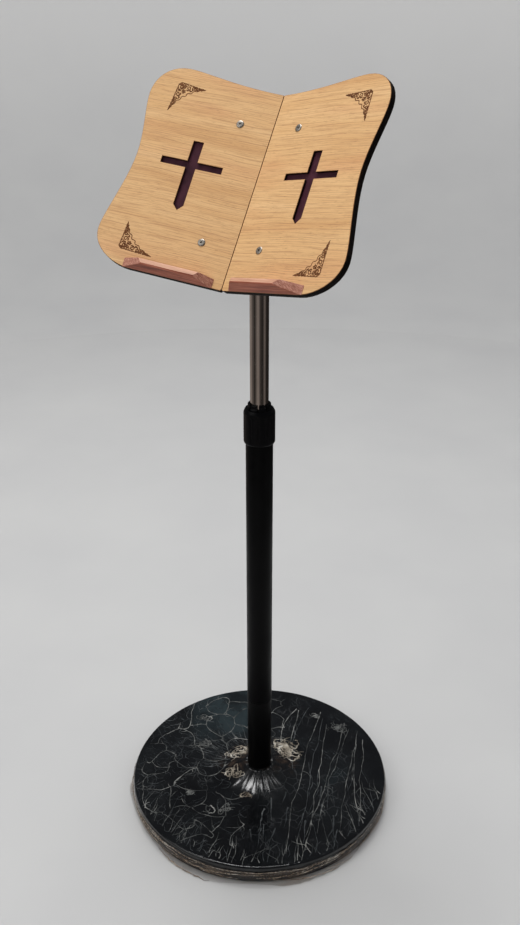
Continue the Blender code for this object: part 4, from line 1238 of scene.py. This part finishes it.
def crease_lines(spot):
    """Milky lines where the clear film is creased: long shallow ones, and a nearly whole one at its top."""
    chance = random.Random(11)
    lines = [(TAU * k / 9, 0.85, 0.93, 0.93, 0.0011) for k in range(9)]
    for _ in range(58):
        rise = chance.uniform(0.05, 0.90)
        lines.append((chance.uniform(0, TAU), chance.uniform(0.12, 0.75), rise,
                      within(rise + chance.uniform(-0.5, 0.5), 0.02, 0.97), chance.uniform(0.0004, 0.0013)))
    cage = bmesh.new()
    for start, length, low, high, width in lines:
        steps = int(length / 0.012)
        rows = []
        for k in range(steps + 1):
            share = k / steps
            angle = start + length * share
            rise = low + (high - low) * share
            rise += 0.05 * ripple(angle * 3, low * 9, 1.0) + 0.02 * ripple(angle * 14, low, 1.0)
            half = width / 0.044 * math.sin(math.pi * (0.04 + 0.92 * share))
            half *= 1 + 0.8 * ripple(angle * 9, rise, 1.0)
            foot, crown = within(rise - half), within(rise + half)
            rows.append([spot(angle, foot, 0.0003), spot(angle, crown, 0.0003),
                         spot(angle, crown, -0.0001), spot(angle, foot, -0.0001)])
        closed_strip(cage, rows)
    strip_piece("crease_lines", cage, CREASE, "clear_film")


# -------- build
bpy.context.scene.view_settings.view_transform = "Standard"
BEECH = {"right": beech("beech_right", (0.7, 0.2, 0)), "left": beech("beech_left", (0, 0, 0))}
BURNT, BOARD = burnt_edge(), board_back()
ORNAMENT = burnt_line()
MAROON = mottled("maroon_sheet", ((1500, 1500, 600), 2.0),
                 ((0.32, (0.036, 0.0090, 0.0160)), (0.70, (0.072, 0.0200, 0.0330))), (0.45, 0.65),
                 (0.00005, 0.5), cloud=((60, 60, 60), 3.0), Specular_IOR_Level=0.12)
LEDGE_LOOKS = [
    stained_wood("ledge_long_grain", (0.150, 0.036, 0.021), (0.390, 0.120, 0.072), (0.590, 0.240, 0.155)),
    stained_wood("ledge_end_grain", (0.200, 0.070, 0.045), (0.430, 0.190, 0.135), (0.640, 0.360, 0.280),
                 (260, 900, 260), (0, 0, 0.6)),
    # The upward chamfer: the same wood painted paler, a painted highlight.
    stained_wood("ledge_chamfer_painted_highlight", (0.340, 0.150, 0.095), (0.520, 0.285, 0.190), (0.680, 0.430, 0.310)),
]
STEEL, MOULDING = polished_steel(), black_moulding()
COAT = powder_coat("black_powder_coat", 0.0012, 0.6)
POST_COAT = powder_coat("black_post_coat", 0.0011, 0.4)
ZINC = mottled("zinc_plate", ((500, 500, 500), 4.0), ((0.3, (0.50, 0.50, 0.48)), (0.7, (0.64, 0.63, 0.58))),
               (0.28, 0.45), (0.00003, 0.5), cloud=((90, 90, 90), 3.0), Metallic=1.0)
RIVET = mottled("rivet_aluminium", ((800, 800, 800), 3.0),
                ((0.3, (0.33, 0.30, 0.26)), (0.7, (0.55, 0.51, 0.46))), (0.38, 0.52), (0.00004, 0.6),
                Metallic=1.0)
RUBBER = mottled("foot_rubber", ((700, 700, 700), 4.0),
                 ((0.3, (0.012, 0.012, 0.012)), (0.7, (0.026, 0.025, 0.024))), (0.7, 0.9), (0.00015, 0.6),
                 Specular_IOR_Level=0.25)
CONCRETE, MARBLE, CLEAR, CREASE = concrete(), marble_film(), clear_film(), crease_white()
VEIN_INKS = {
    "grey": vein_print("vein_grey", (0.020, 0.021, 0.021), (0.105, 0.108, 0.104), (0.330, 0.330, 0.310)),
    "faint": vein_print("vein_faint", (0.008, 0.010, 0.011), (0.040, 0.044, 0.046), (0.100, 0.106, 0.108)),
    "cream": vein_print("vein_cream", (0.080, 0.062, 0.045), (0.350, 0.310, 0.250), (0.760, 0.740, 0.680)),
}

add_camera()
add_world()
add_stage()
add_softboxes()

desk_pieces()
head_pieces()
column_pieces()
base_pieces()

for node in ("base_bolt", "base_washer", "post_plug", "post_coupler", "post_set_screw", "column_set_screw"):
    paint_node(node, ZINC)
paint_node("guide_bush", MOULDING)
paint_node("base_disc", CONCRETE)
paint_node("hub_flange", COAT)

({name: [[float(x) for x in corner] for corner in box]
           for name, box in (("cad", CAD_BOX), ("visual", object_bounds()))})
